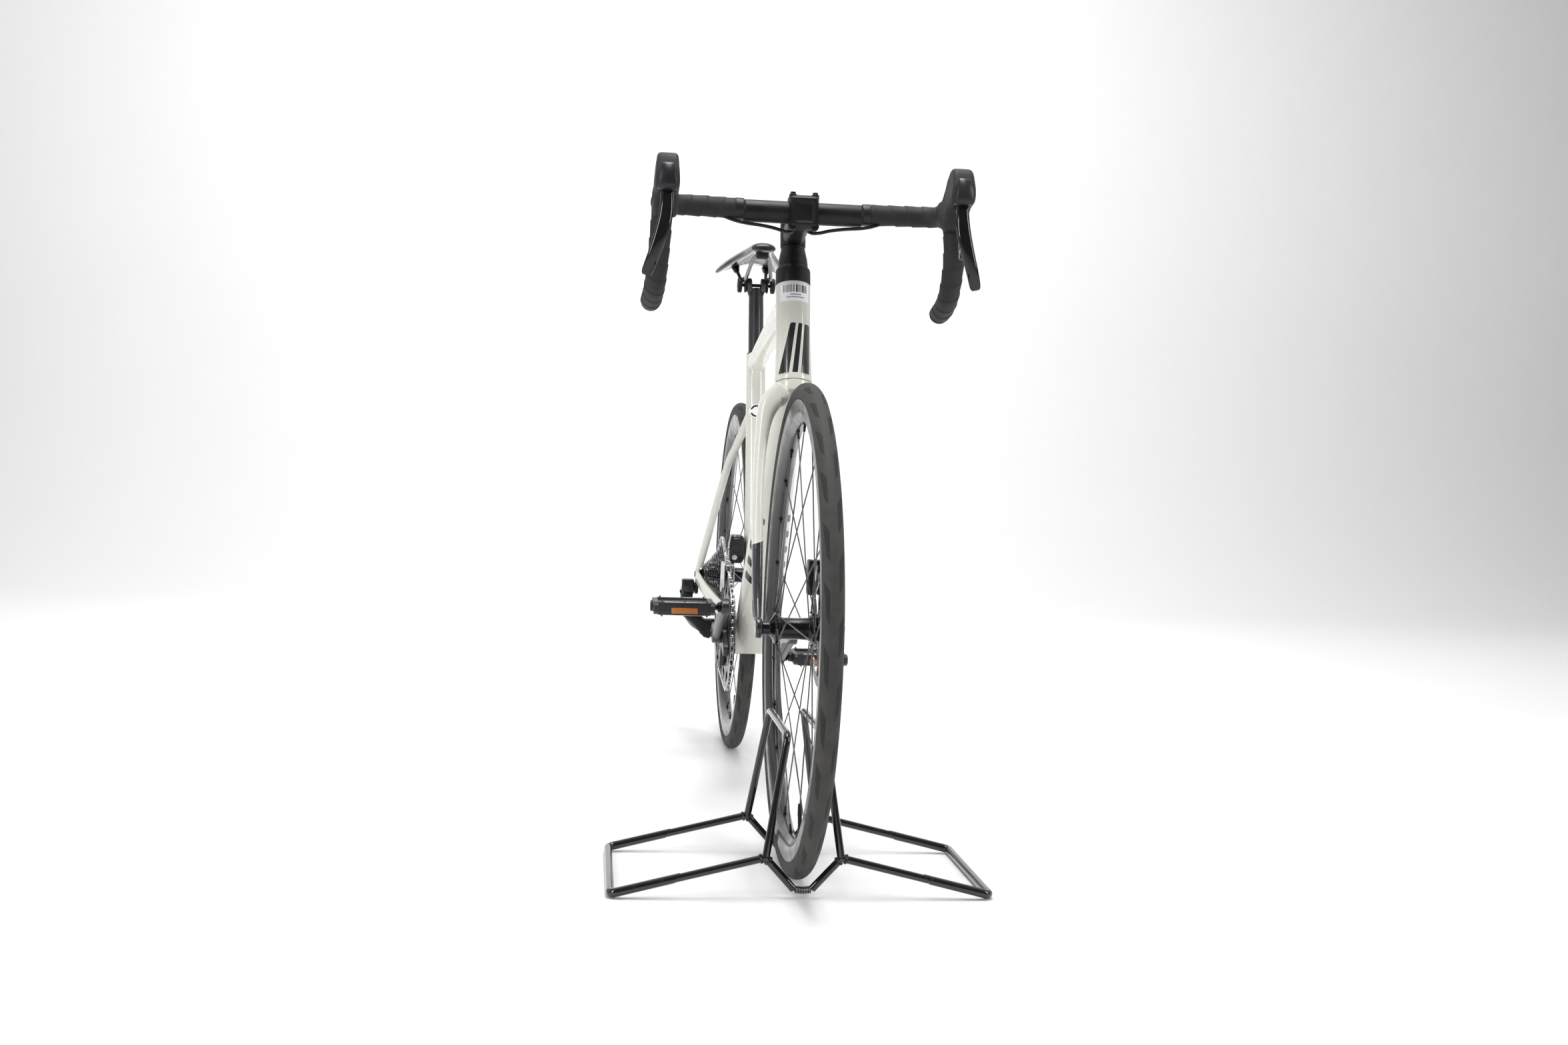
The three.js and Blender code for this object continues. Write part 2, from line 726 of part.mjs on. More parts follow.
function fork() {
  const ends = [];
  for (const [, side] of SIDES) {
    const faces = [side * DROPOUT.front, side * (DROPOUT.front + 9.8)].sort((a, b) => a - b);
    ends.push(discX(frontY, TYRE_RADIUS, 14.5, ...faces, 18));
  }
  const crown = turned(
    onSteering(CROWN),
    onSteering(CROWN + 1),
    [[0, -17], [27, -17], [HEAD_FOOT_RADIUS, 0], [0, 0]],
    22,
  );
  const steerer = rod(onSteering(CROWN - 5), onSteering(100), STEERER_RADIUS, 18);
  const wheelRoom = discX(frontY, TYRE_RADIUS, TYRE_RADIUS + 5, -19, 19, 32);
  const whole = join(crown, forkLeg(1), forkLeg(-1), ...ends);
  const arched = cut(whole, wheelRoom);
  const bored = cut(arched, discX(frontY, TYRE_RADIUS, AXLE_RADIUS + GAP, -CLEAR, CLEAR, 16));
  return join(bored, steerer);
}
add("fork", fork(), "paint");
add(
  "front_thru_axle",
  join(
    discX(frontY, TYRE_RADIUS, AXLE_RADIUS, -60, 61, 14),
    discX(frontY, TYRE_RADIUS, 9, 60.4, 64.5, 14),
  ),
  "black",
);

// ---------------------------------------------------------------- cockpit
function headsetCover() {
  const bore = STEERER_RADIUS + 0.4;
  const section = [
    [bore, 0.4],
    [26, 0.4],
    [26, 25],
    [22, 30],
    [21.5, 42],
    [17.5, STEM_FOOT - GAP],
    [bore, STEM_FOOT - GAP],
  ];
  return turned(HEAD_TOP, onSteering(1), section, 18);
}

function stem() {
  const clamp = rod(onSteering(STEM_FOOT), onSteering(STEM_TOP), 19, 20);
  const foot = onSteering(82);
  const [, barY, barZ] = BAR_CENTRE;
  const arm = loft([
    [0, foot.y + 6, foot.z - 2, 32, 34],
    [0, foot.y - 40, foot.z + 7, 33, 32],
    [0, barY + 34, barZ - 4, 38, 36],
    [0, barY + 15, barZ, 42, 42],
  ]);
  const jaw = block(-21.5, 21.5, barY - 1, barY + 16, barZ - 24, barZ + 24);
  return cut(
    join(clamp, arm, jaw),
    rod(onSteering(STEM_FOOT - 5), onSteering(STEM_TOP + 15), STEERER_RADIUS + 0.4, 18),
    discX(barY, barZ, BAR_CLAMP_RADIUS + 0.4, -CLEAR, CLEAR, 24),
  );
}

function faceplate() {
  const [, y, z] = BAR_CENTRE;
  const outline = [
    [y - 2.5, z - 27],
    [y - 2.5, z + 27],
    [y - 13, z + 27],
    [y - 22, z + 14],
    [y - 22, z - 14],
    [y - 13, z - 27],
  ];
  return cut(plate(outline, -21.5, 21.5), discX(y, z, BAR_CLAMP_RADIUS + 0.4, -CLEAR, CLEAR, 24));
}

// Points of the bar's centre line on one side, from the clamp to the end of the drop.
function barLine(side) {
  const [, y, z] = BAR_CENTRE;
  return smooth(
    [
      [side * 40, y, z],
      [side * 90, y, z + 2],
      [side * 150, y - 2, z + 3],
      [side * 184, y - 12, z + 2],
      [side * 200, y - 36, z],
      [side * 203, y - 62, z - 6],
      [side * 205, y - 78, z - 34],
      [side * 207, y - 72, z - 74],
      [side * 209, y - 42, z - 110],
      [side * 211, y - 2, z - 126],
      [side * 212, y + 36, z - 132],
    ],
    22,
  );
}
function handlebar() {
  const [, y, z] = BAR_CENTRE;
  const centre = turnedX(
    y,
    z,
    [
      [0, -BAR_CLAMP_REACH - 5],
      [BAR_RADIUS, -BAR_CLAMP_REACH - 5],
      [BAR_CLAMP_RADIUS, -BAR_CLAMP_REACH],
      [BAR_CLAMP_RADIUS, BAR_CLAMP_REACH],
      [BAR_RADIUS, BAR_CLAMP_REACH + 5],
      [0, BAR_CLAMP_REACH + 5],
    ],
    18,
  );
  return join(centre, ...SIDES.map(([, side]) => tube(barLine(side), BAR_RADIUS)));
}

function barTape(side) {
  const section = circle(TAPE_OUTER, 8);
  section.holes.push(new THREE.Path(circle(TAPE_INNER, 8).getPoints().reverse()));
  return swept(barLine(side).slice(TAPE_START), section);
}

// A brake hood: its outline from the side, as wide as a hand's grip, round the taped bar.
function hood(side) {
  const [, barY, barZ] = BAR_CENTRE;
  const outline = [
    [barY - 46, barZ + 17],
    [barY - 84, barZ + 15],
    [barY - 104, barZ + 29],
    [barY - 117, barZ + 49],
    [barY - 129, barZ + 54],
    [barY - 146, barZ + 48],
    [barY - 158, barZ + 23],
    [barY - 153, barZ + 3],
    [barY - 122, barZ - 3],
    [barY - 104, barZ - 26],
    [barY - 88, barZ - 30],
    [barY - 72, barZ - 16],
    [barY - 54, barZ - 4],
    [barY - 40, barZ + 2],
  ];
  const half = 14.5;
  const middle = side * HOOD_X;
  const body = plate(outline, middle - half, middle + half);
  return cut(body, tube(barLine(side).slice(TAPE_START), TAPE_OUTER + 0.5));
}

function brakeLever(side) {
  const [y, z] = LEVER_TOP;
  return loft([
    [side * HOOD_X, y, z - 1, 17, 10],
    [side * (HOOD_X + 1), y - 8, z - 26, 19, 9],
    [side * (HOOD_X + 8), y - 9, z - 58, 18, 8],
    [side * (HOOD_X + 17), y - 4, z - 86, 16.5, 7],
    [side * (HOOD_X + 24), y + 5, z - 107, 14.5, 6],
  ], 10);
}

function shiftPaddle(side) {
  const [y, z] = LEVER_TOP;
  const outline = [
    [y + 9, z - 7],
    [y + 22, z - 10],
    [y + 26, z - 34],
    [y + 20, z - 62],
    [y + 8, z - 68],
    [y + 4, z - 40],
  ];
  const middle = side * (HOOD_X + 3);
  return plate(outline, middle - 2, middle + 2);
}

function brakeHose(side) {
  const [, y, z] = BAR_CENTRE;
  return tube(
    smooth(
      [
        [side * 82, y - 7, z - 18.6],
        [side * 60, y - 5, z - 20.5],
        [side * 38, y - 2, z - 24],
        [side * 23, y + 8, z - 29],
        [side * 12, y + 30, z - 31],
        [side * 7, y + 55, z - 38],
        [side * 7, y + 76, z - 50],
      ],
      14,
    ),
    2.5,
    8,
  );
}

add("headset_cover", headsetCover(), "matte");
add("stem", stem(), "matte");
add("stem_faceplate", faceplate(), "matte");
add(
  "top_cap",
  rod(onSteering(STEM_TOP + GAP), onSteering(STEM_TOP + 5), 17, 18),
  "matte",
);
add("handlebar", handlebar(), "matte");
for (const [name, side] of SIDES) {
  add(`${name}_bar_tape`, barTape(side), "rubber");
  add(`${name}_hood`, hood(side), "rubber");
  add(`${name}_brake_lever`, brakeLever(side), "black");
  add(`${name}_shift_paddle`, shiftPaddle(side), "black");
  add(`${name}_brake_hose`, brakeHose(side), "black");
}

// ---------------------------------------------------------------- brake calipers
// Each one straddles its rotor.
function caliper(x, y0, y1, z0, z1, reach) {
  const body = block(x - 11, x + 13, y0, y1, z0, z1);
  return cut(body, block(x - 2.2, x + 2.2, ...reach));
}
add("front_caliper", caliper(ROTOR_X.front, -447, -421, 382, 432, [-460, -425, 370, 427]), "black");
add("rear_caliper", caliper(ROTOR_X.rear, 398, 442, 344, 372, [410, 450, 338, 380]), "black");

// ---------------------------------------------------------------- cranks, rings and pedals
// DRIVE is the rider's right and points forward at rest; FAR is the left and points back.
const DRIVE = 1;
const FAR = -1;

const pedalPoint = (half) => ({
  y: BB.y - half * CRANK_LENGTH * Math.cos(CRANK_ANGLE),
  z: BB.z + half * CRANK_LENGTH * Math.sin(CRANK_ANGLE),
});

// The arm tapers from its boss at the spindle to its eye at the pedal.
function crankArm(half, x0, x1) {
  const { y, z } = pedalPoint(half);
  const direction = v(0, y - BB.y, z - BB.z).normalize();
  const across = v(0, -direction.z, direction.y);
  const corner = (distance, offset) => {
    const point = v(0, BB.y, BB.z)
      .addScaledVector(direction, distance)
      .addScaledVector(across, offset);
    return [point.y, point.z];
  };
  const arm = plate(
    [
      corner(0, -15),
      corner(CRANK_LENGTH, -10),
      corner(CRANK_LENGTH, 10),
      corner(0, 15),
    ],
    x0,
    x1,
  );
  return join(arm, discX(BB.y, BB.z, 18, x0, x1, 14), discX(y, z, 12.5, x0, x1, 16));
}

function rightCrank() {
  const spiderX = [-58.5, OUTER_RING.x - 2.3];
  const arms = 4;
  const spider = Array.from({ length: arms }, (_, k) => {
    const turn = Math.PI - CRANK_ANGLE + (2 * Math.PI * (k + 0.5)) / arms;
    const tip = (spread, r) => [
      BB.y + r * Math.cos(turn + spread),
      BB.z + r * Math.sin(turn + spread),
    ];
    return plate([tip(-0.7, 20), tip(-0.14, 66), tip(0.14, 66), tip(0.7, 20)], ...spiderX);
  });
  const hub = discX(BB.y, BB.z, 26, ...spiderX, 20);
  const neck = discX(BB.y, BB.z, 15, -58.5, -BB.halfWidth - GAP, 14);
  const whole = join(crankArm(DRIVE, -CRANK_X.outer, -CRANK_X.inner), hub, neck, ...spider);
  return cut(whole, discX(BB.y, BB.z, SPINDLE_RADIUS + GAP, -68, 0, 18));
}

function leftCrank() {
  const neck = discX(BB.y, BB.z, 15, BB_FACE + GAP, CRANK_X.inner + 1, 14);
  const spindle = discX(BB.y, BB.z, SPINDLE_RADIUS, -67, CRANK_X.inner + 1, 14);
  return join(crankArm(FAR, CRANK_X.inner, CRANK_X.outer), neck, spindle);
}

function chainring(ring, inner, thickness, tip) {
  const { x, teeth } = ring;
  const outer = pitchRadius(teeth) + tip;
  return ringX(BB.y, BB.z, inner, outer, x - thickness / 2, x + thickness / 2, 28);
}

function pedalSpindle(half) {
  const { y, z } = pedalPoint(half);
  const outward = -half;
  const span = [outward * (CRANK_X.outer + GAP), outward * 178].sort((a, b) => a - b);
  return discX(y, z, 5, ...span, 12);
}

// An open platform on a central barrel.
function pedal(half) {
  const { y, z } = pedalPoint(half);
  const { near, far, halfLength, halfHeight, barrel } = PEDAL;
  const outward = -half;
  const span = (a, b) => [outward * a, outward * b].sort((p, q) => p - q);
  const slab = block(
    ...span(near, far),
    y - halfLength,
    y + halfLength,
    z - halfHeight,
    z + halfHeight,
  );
  const windows = [-1, 1].map((end) => {
    const reach = [y + end * (barrel + 1), y + end * (halfLength - 10)].sort((p, q) => p - q);
    return block(...span(near + 12, far - 12), ...reach, z - 30, z + 30);
  });
  const body = join(cut(slab, ...windows), discX(y, z, barrel, ...span(near - 6, far - 4), 16));
  return cut(body, discX(y, z, 5 + GAP, ...span(near - 20, far - 5), 12));
}

add("left_crank", leftCrank(), "grey");
add("right_crank", rightCrank(), "grey");
add("outer_chainring", chainring(OUTER_RING, 52, 4, -CHAIN_ROOM), "grey");
add("inner_chainring", chainring(INNER_RING, 46, 3, 2), "grey");
add("right_pedal_spindle", pedalSpindle(DRIVE), "steel");
add("left_pedal_spindle", pedalSpindle(FAR), "steel");
add("right_pedal", pedal(DRIVE), "matte");
add("left_pedal", pedal(FAR), "matte");

// ---------------------------------------------------------------- chain and derailleurs
// Wheels that the chain goes round, in order; a negative turn is passed on the other side.
const CHAIN_WHEELS = [
  { y: BB.y, z: BB.z, radius: pitchRadius(OUTER_RING.teeth), turn: 1, x: OUTER_RING.x },
  { y: rearY, z: TYRE_RADIUS, radius: pitchRadius(SPROCKETS[0]), turn: 1, x: SPROCKET_FIRST_X },
  { ...UPPER_JOCKEY, radius: pitchRadius(JOCKEY_TEETH), turn: -1, x: SPROCKET_FIRST_X },
  { ...LOWER_JOCKEY, radius: pitchRadius(JOCKEY_TEETH), turn: 1, x: SPROCKET_FIRST_X },
];

// Where the straight run from one wheel to the next leaves the first, as an angle in the YZ
// plane, and where it meets the second.
function tangentAngles(from, to) {
  const heading = Math.atan2(to.z - from.z, to.y - from.y);
  const distance = Math.hypot(to.z - from.z, to.y - from.y);
  const lean = Math.asin((from.turn * from.radius - to.turn * to.radius) / distance);
  const normal = heading + Math.PI / 2 - lean;
  return {
    leave: from.turn > 0 ? normal : normal + Math.PI,
    meet: to.turn > 0 ? normal : normal + Math.PI,
  };
}

function chainLine() {
  const count = CHAIN_WHEELS.length;
  const runs = CHAIN_WHEELS.map((wheel, i) => tangentAngles(wheel, CHAIN_WHEELS[(i + 1) % count]));
  const points = [];
  for (let k = 1; k <= count; k++) {
    const wheel = CHAIN_WHEELS[k % count];
    const start = runs[(k - 1) % count].meet;
    let sweep = runs[k % count].leave - start;
    while (wheel.turn > 0 && sweep > 0) sweep -= 2 * Math.PI;
    while (wheel.turn < 0 && sweep < 0) sweep += 2 * Math.PI;
    while (Math.abs(sweep) > 2 * Math.PI) sweep -= Math.sign(sweep) * 2 * Math.PI;
    const steps = Math.max(3, Math.ceil(Math.abs(sweep) / 0.26));
    for (let i = 0; i <= steps; i++) {
      const turn = start + (sweep * i) / steps;
      points.push(
        v(wheel.x, wheel.y + wheel.radius * Math.cos(turn), wheel.z + wheel.radius * Math.sin(turn)),
      );
    }
  }
  return points;
}

// The closed loop is left open by a hair in its upper run, so that it is one plain sweep.
function chain() {
  const points = chainLine();
  const first = points[0];
  const last = points[points.length - 1];
  const back = last.clone().lerp(first, 0.5);
  const opening = first.clone().sub(last).normalize().multiplyScalar(0.2);
  const whole = [back.clone().add(opening), ...points, back.clone().sub(opening)];
  const section = new THREE.Shape();
  const [w, h] = [CHAIN_WIDTH / 2, CHAIN_HALF_HEIGHT];
  section.moveTo(-w, -h);
  section.lineTo(w, -h);
  section.lineTo(w, h);
  section.lineTo(-w, h);
  section.lineTo(-w, -h);
  return swept(whole, section);
}

function jockeyWheel(wheel) {
  const outer = pitchRadius(JOCKEY_TEETH) - CHAIN_ROOM;
  return ringX(wheel.y, wheel.z, 4.3, outer, SPROCKET_FIRST_X - 1.2, SPROCKET_FIRST_X + 1.2, 20);
}

function derailleurCage() {
  const side = (x0, x1) => {
    const [a, b] = [UPPER_JOCKEY, LOWER_JOCKEY];
    const heading = v(0, b.y - a.y, b.z - a.z).normalize();
    const across = v(0, -heading.z, heading.y);
    const corner = (wheel, offset) => [
      wheel.y + across.y * offset,
      wheel.z + across.z * offset,
    ];
    const web = plate([corner(a, -11), corner(b, -9), corner(b, 9), corner(a, 11)], x0, x1);
    return join(web, discX(a.y, a.z, 15, x0, x1, 16), discX(b.y, b.z, 12, x0, x1, 16));
  };
  const bolts = [UPPER_JOCKEY, LOWER_JOCKEY].map(({ y, z }) =>
    discX(y, z, 4, CAGE.outer[0], CAGE.inner[1], 10),
  );
  return join(side(...CAGE.outer), side(...CAGE.inner), ...bolts);
}

function derailleurBody() {
  const pivotX = [CAGE.outer[0] - 30, CAGE.outer[0] - GAP];
  const arm = loft([
    [-92, 510, 318, 22, 26],
    [-94, 520, 296, 24, 32],
    [-84, 534, 256, 26, 34],
    [-62, 526, 236, 24, 30],
  ], 10);
  return join(
    discX(506, 312, 13, -102, -DROPOUT.rear - 8.4, 16),
    arm,
    discX(UPPER_JOCKEY.y, UPPER_JOCKEY.z, 16, ...pivotX, 16),
  );
}

function frontDerailleurCage() {
  const { z0 } = FRONT_CHANGER;
  const outline = [
    [100, 352],
    [120, 344],
    [160, 340],
    [186, 330],
    [190, 342],
    [176, z0 - GAP],
    [106, z0 - GAP],
  ];
  const bridge = block(-54.5, -36.5, 112, 170, z0 - 4, z0 - GAP);
  return join(plate(outline, -54.5, -53), plate(outline, -38, -36.5), bridge);
}

function frontDerailleurBody() {
  const { y0, y1, z0, z1 } = FRONT_CHANGER;
  return block(-46, -19.6, y0, y1, z0, z1);
}

add("chain", chain(), "steel");
add("upper_jockey_wheel", jockeyWheel(UPPER_JOCKEY), "black");
add("lower_jockey_wheel", jockeyWheel(LOWER_JOCKEY), "black");
add("rear_derailleur_cage", derailleurCage(), "grey");
add("rear_derailleur_body", derailleurBody(), "black");
add("front_derailleur_cage", frontDerailleurCage(), "grey");
add("front_derailleur_body", frontDerailleurBody(), "black");

export default bicycleOnStand;
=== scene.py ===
import json
import math
import random

import bmesh
import bpy
from mathutils import Matrix, Vector
from mathutils.bvhtree import BVHTree
from mathutils.geometry import tessellate_polygon


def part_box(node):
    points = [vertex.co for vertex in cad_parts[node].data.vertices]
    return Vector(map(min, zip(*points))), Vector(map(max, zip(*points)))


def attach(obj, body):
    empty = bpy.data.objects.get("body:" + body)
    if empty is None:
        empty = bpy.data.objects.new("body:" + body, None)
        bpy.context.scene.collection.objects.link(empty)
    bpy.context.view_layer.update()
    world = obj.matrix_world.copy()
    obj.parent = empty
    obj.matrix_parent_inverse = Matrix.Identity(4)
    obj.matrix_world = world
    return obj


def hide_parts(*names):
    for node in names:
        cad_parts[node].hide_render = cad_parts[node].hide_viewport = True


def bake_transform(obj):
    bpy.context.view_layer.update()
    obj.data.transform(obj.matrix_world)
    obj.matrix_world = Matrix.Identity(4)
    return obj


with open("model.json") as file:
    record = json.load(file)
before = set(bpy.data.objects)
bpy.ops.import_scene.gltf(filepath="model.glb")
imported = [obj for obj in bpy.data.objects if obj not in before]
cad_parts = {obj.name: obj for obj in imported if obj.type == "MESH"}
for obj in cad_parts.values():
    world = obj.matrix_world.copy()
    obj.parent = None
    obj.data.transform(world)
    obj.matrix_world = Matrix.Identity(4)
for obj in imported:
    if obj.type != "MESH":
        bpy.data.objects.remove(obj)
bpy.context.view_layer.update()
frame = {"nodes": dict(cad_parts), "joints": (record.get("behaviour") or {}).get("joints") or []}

MM = 0.001  # shapes are worked out in millimetres and stored in metres
SIDES = (("left", 1), ("right", -1))
TAU = 2 * math.pi


# ---------------------------------------------------------------- places, from the frame
def joint(name):
    return next(j for j in frame["joints"] if j["name"] == name)


def joint_place(name):
    return Vector(joint(name)["pos_m"]) / MM


def box(node):
    low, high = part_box(node)
    return low / MM, high / MM


def middle(node):
    low, high = box(node)
    return (low + high) / 2


FRONT_AXLE = joint_place("front_wheel_spin")
REAR_AXLE = joint_place("rear_wheel_spin")
BB = joint_place("crank_spin")
HEAD_TOP = joint_place("steering_turn")
STEERING = Vector(joint("steering_turn")["axis"]).normalized()
SEAT_AXIS = Vector(joint("seat_height")["axis"]).normalized()
UPPER_JOCKEY = joint_place("upper_jockey_spin")
LOWER_JOCKEY = joint_place("lower_jockey_spin")
WHEEL_RADIUS = box("front_tyre")[1].z / 2
FACEPLATE_REACH = 22  # from the front of the faceplate back to the middle of the bar
BAR_CENTRE = middle("stem_faceplate")
BAR_CENTRE.y = box("stem_faceplate")[0].y + FACEPLATE_REACH
HEAD_LENGTH = 152.3


def on_steering(distance):
    return HEAD_TOP + STEERING * distance


def on_seat_tube(distance):
    return BB + SEAT_AXIS * distance


# ---------------------------------------------------------------- camera
# in front of the bicycle and a little to the rider's right; the lens is in mm, as on a 36 mm frame
CAMERA_PLACE = Vector((-294.6, -2763.1, 577.3))
CAMERA_YAW = math.radians(-6.79)
CAMERA_PITCH = math.radians(-2.29)
CAMERA_ROLL = math.radians(2.0)
CAMERA_LENS = 38.1


def make_camera():
    data = bpy.data.cameras.new("camera")
    data.lens = CAMERA_LENS
    data.sensor_width = 36
    camera = bpy.data.objects.new("camera", data)
    bpy.context.scene.collection.objects.link(camera)
    forward = Vector(
        (
            -math.sin(CAMERA_YAW) * math.cos(CAMERA_PITCH),
            math.cos(CAMERA_YAW) * math.cos(CAMERA_PITCH),
            math.sin(CAMERA_PITCH),
        )
    )
    right = Vector((math.cos(CAMERA_YAW), math.sin(CAMERA_YAW), 0))
    turn = Matrix.Rotation(-CAMERA_ROLL, 3, forward)
    right = turn @ right
    up = right.cross(forward)
    axes = Matrix((right, up, -forward)).transposed()
    camera.matrix_world = Matrix.Translation(CAMERA_PLACE * MM) @ axes.to_4x4()
    bpy.context.scene.camera = camera


make_camera()


# ---------------------------------------------------------------- shapes: closed surfaces in mm
class Shape:
    """Points and faces. Adding two shapes puts them side by side in one."""

    def __init__(self, points=(), faces=()):
        self.points = [Vector(p) for p in points]
        self.faces = [tuple(f) for f in faces]

    def __add__(self, other):
        shift = len(self.points)
        moved_faces = [tuple(i + shift for i in f) for f in other.faces]
        return Shape(self.points + other.points, self.faces + moved_faces)

    def __iadd__(self, other):
        shift = len(self.points)
        self.points.extend(other.points)
        self.faces.extend(tuple(i + shift for i in f) for f in other.faces)
        return self

    def reshaped(self, change):
        return Shape([change(p) for p in self.points], self.faces)


def total(shapes):
    whole = Shape()
    for shape in shapes:
        whole += shape
    return whole


def catmull(points, steps):
    """A smooth row through the given tuples, with that many steps between each two."""
    rows = [Vector(p) for p in points]
    ends = [2 * rows[0] - rows[1]] + rows + [2 * rows[-1] - rows[-2]]
    made = []
    for a, b, c, d in zip(ends, ends[1:], ends[2:], ends[3:]):
        for i in range(steps):
            t = i / steps
            made.append(
                0.5
                * (
                    2 * b
                    + (c - a) * t
                    + (2 * a - 5 * b + 4 * c - d) * t * t
                    + (3 * b - a - 3 * c + d) * t**3
                )
            )
    return made + [rows[-1]]


def stations_through(stations, steps):
    """The same for rows of any length of plain numbers."""
    ends = (
        [[2 * p - q for p, q in zip(stations[0], stations[1])]]
        + [list(s) for s in stations]
        + [[2 * p - q for p, q in zip(stations[-1], stations[-2])]]
    )
    made = []
    for a, b, c, d in zip(ends, ends[1:], ends[2:], ends[3:]):
        for i in range(steps):
            t = i / steps
            row = []
            for p, q, r, s in zip(a, b, c, d):
                bend = (2 * p - 5 * q + 4 * r - s) * t * t
                row.append(0.5 * (2 * q + (r - p) * t + bend + (3 * q - p - 3 * r + s) * t**3))
            made.append(row)
    return made + [list(stations[-1])]


def bent(corners, radius, steps=8):
    """A line through corners, each inner one rounded."""
    corners = [Vector(c) for c in corners]
    line = [corners[0]]
    for before, corner, after in zip(corners, corners[1:], corners[2:]):
        back, on = (before - corner).normalized(), (after - corner).normalized()
        reach = radius / math.tan(back.angle(on) / 2)
        start, end = corner + back * reach, corner + on * reach
        for i in range(steps + 1):
            t = i / steps
            line.append(start * (1 - t) ** 2 + corner * 2 * t * (1 - t) + end * t * t)
    return line + [corners[-1]]


def rounded(outline, radius, steps=3, closed=True):
    """A flat outline with its corners rounded, as far as its sides allow."""
    points = [Vector(p) for p in outline]
    count = len(points)
    made = []
    for i, corner in enumerate(points):
        if not closed and i in (0, count - 1):
            made.append(corner)
            continue
        before, after = points[i - 1], points[(i + 1) % count]
        reach_back = min(radius, (before - corner).length * 0.49)
        reach_on = min(radius, (after - corner).length * 0.49)
        start = corner + (before - corner).normalized() * reach_back
        end = corner + (after - corner).normalized() * reach_on
        for k in range(steps + 1):
            t = k / steps
            made.append(start * (1 - t) ** 2 + corner * 2 * t * (1 - t) + end * t * t)
    return made


def at_turn(y, z, radius, turn):
    """The point at that radius and angle round (y, z)."""
    return y + radius * math.cos(turn), z + radius * math.sin(turn)


def circle(radius, sides, y=0.0, z=0.0):
    return [Vector(at_turn(y, z, radius, TAU * i / sides)) for i in range(sides)]


def skin(rings, closed=False):
    """A surface over rings of equal size; a ring of one point is a pole."""
    points, starts, faces = [], [], []
    for ring in rings:
        starts.append(len(points))
        points.extend(ring)
    pairs = list(zip(range(len(rings)), range(1, len(rings))))
    if closed:
        pairs.append((len(rings) - 1, 0))
    for a, b in pairs:
        na, nb = len(rings[a]), len(rings[b])
        for i in range(max(na, nb)):
            j = (i + 1) % max(na, nb)
            if na == 1 and nb == 1:
                continue
            if na == 1:
                faces.append((starts[a], starts[b] + j, starts[b] + i))
            elif nb == 1:
                faces.append((starts[a] + i, starts[a] + j, starts[b]))
            else:
                faces.append((starts[a] + i, starts[a] + j, starts[b] + j, starts[b] + i))
    if not closed:
        if len(rings[0]) > 2:
            faces.append(tuple(range(starts[0], starts[0] + len(rings[0])))[::-1])
        if len(rings[-1]) > 2:
            faces.append(tuple(range(starts[-1], starts[-1] + len(rings[-1]))))
    return Shape(points, faces)


def lathe(profile, start=(0, 0, 0), axis=(1, 0, 0), sides=48, closed=False):
    """Turns (radius, distance along the axis) pairs about a line."""
    axis = Vector(axis).normalized()
    across = axis.orthogonal().normalized()
    deep = axis.cross(across)
    rings = []
    for radius, distance in profile:
        centre = Vector(start) + axis * distance
        if radius < 1e-4:
            rings.append([centre])
            continue
        rings.append(
            [
                centre + (across * math.cos(TAU * i / sides) + deep * math.sin(TAU * i / sides)) * radius
                for i in range(sides)
            ]
        )
    return skin(rings, closed)


def turned(profile, radius=0.6, start=(0, 0, 0), axis=(1, 0, 0), sides=48, closed=False):
    """A lathe whose profile has softened corners."""
    soft = [tuple(p) for p in rounded(profile, radius, 3, closed)]
    return lathe(soft, start, axis, sides, closed)


def wheel_ring(profile, axle, radius=0.6, sides=192):
    """A ring about a wheel's axle: its profile is (radius, x)."""
    return turned(profile, radius, (0, axle.y, axle.z), (1, 0, 0), sides, True)


def rod(start, end, radius, sides=20, soft=0.5, end_radius=None):
    start, end = Vector(start), Vector(end)
    length = (end - start).length
    last = radius if end_radius is None else end_radius
    profile = [(0, 0), (radius, 0), (last, length), (0, length)]
    return turned(profile, soft, start, end - start, sides)


def frames_along(line):
    """At each point of a line: its direction and two axes across it that don't twist."""
    line = [Vector(p) for p in line]
    directions = []
    for i in range(len(line)):
        before, after = line[max(0, i - 1)], line[min(len(line) - 1, i + 1)]
        directions.append((after - before).normalized())
    across = directions[0].orthogonal().normalized()
    made = []
    for point, direction in zip(line, directions):
        across = (across - direction * across.dot(direction)).normalized()
        made.append((point, across, direction.cross(across)))
    return made


def sweep(line, section, sides=16):
    """Carries a section along a line; section(share, turn) gives the radius there."""
    places = frames_along(line)
    rings = []
    for k, (point, across, deep) in enumerate(places):
        share = k / (len(places) - 1)
        ring = []
        for i in range(sides):
            turn = TAU * i / sides
            radius = section(share, turn)
            ring.append(point + (across * math.cos(turn) + deep * math.sin(turn)) * radius)
        rings.append(ring)
    return skin(rings)


def tube(line, radius, sides=16, chamfer=0.4):
    """A round tube with softened ends."""
    line = [Vector(p) for p in line]
    first = line[0] + (line[1] - line[0]).normalized() * chamfer
    last = line[-1] + (line[-2] - line[-1]).normalized() * chamfer
    whole = [line[0], first] + line[1:-1] + [last, line[-1]]
    end = 1 / (len(whole) - 1) / 2

    def section(share, _):
        return radius - chamfer if share < end or share > 1 - end else radius

    return sweep(whole, section, sides)


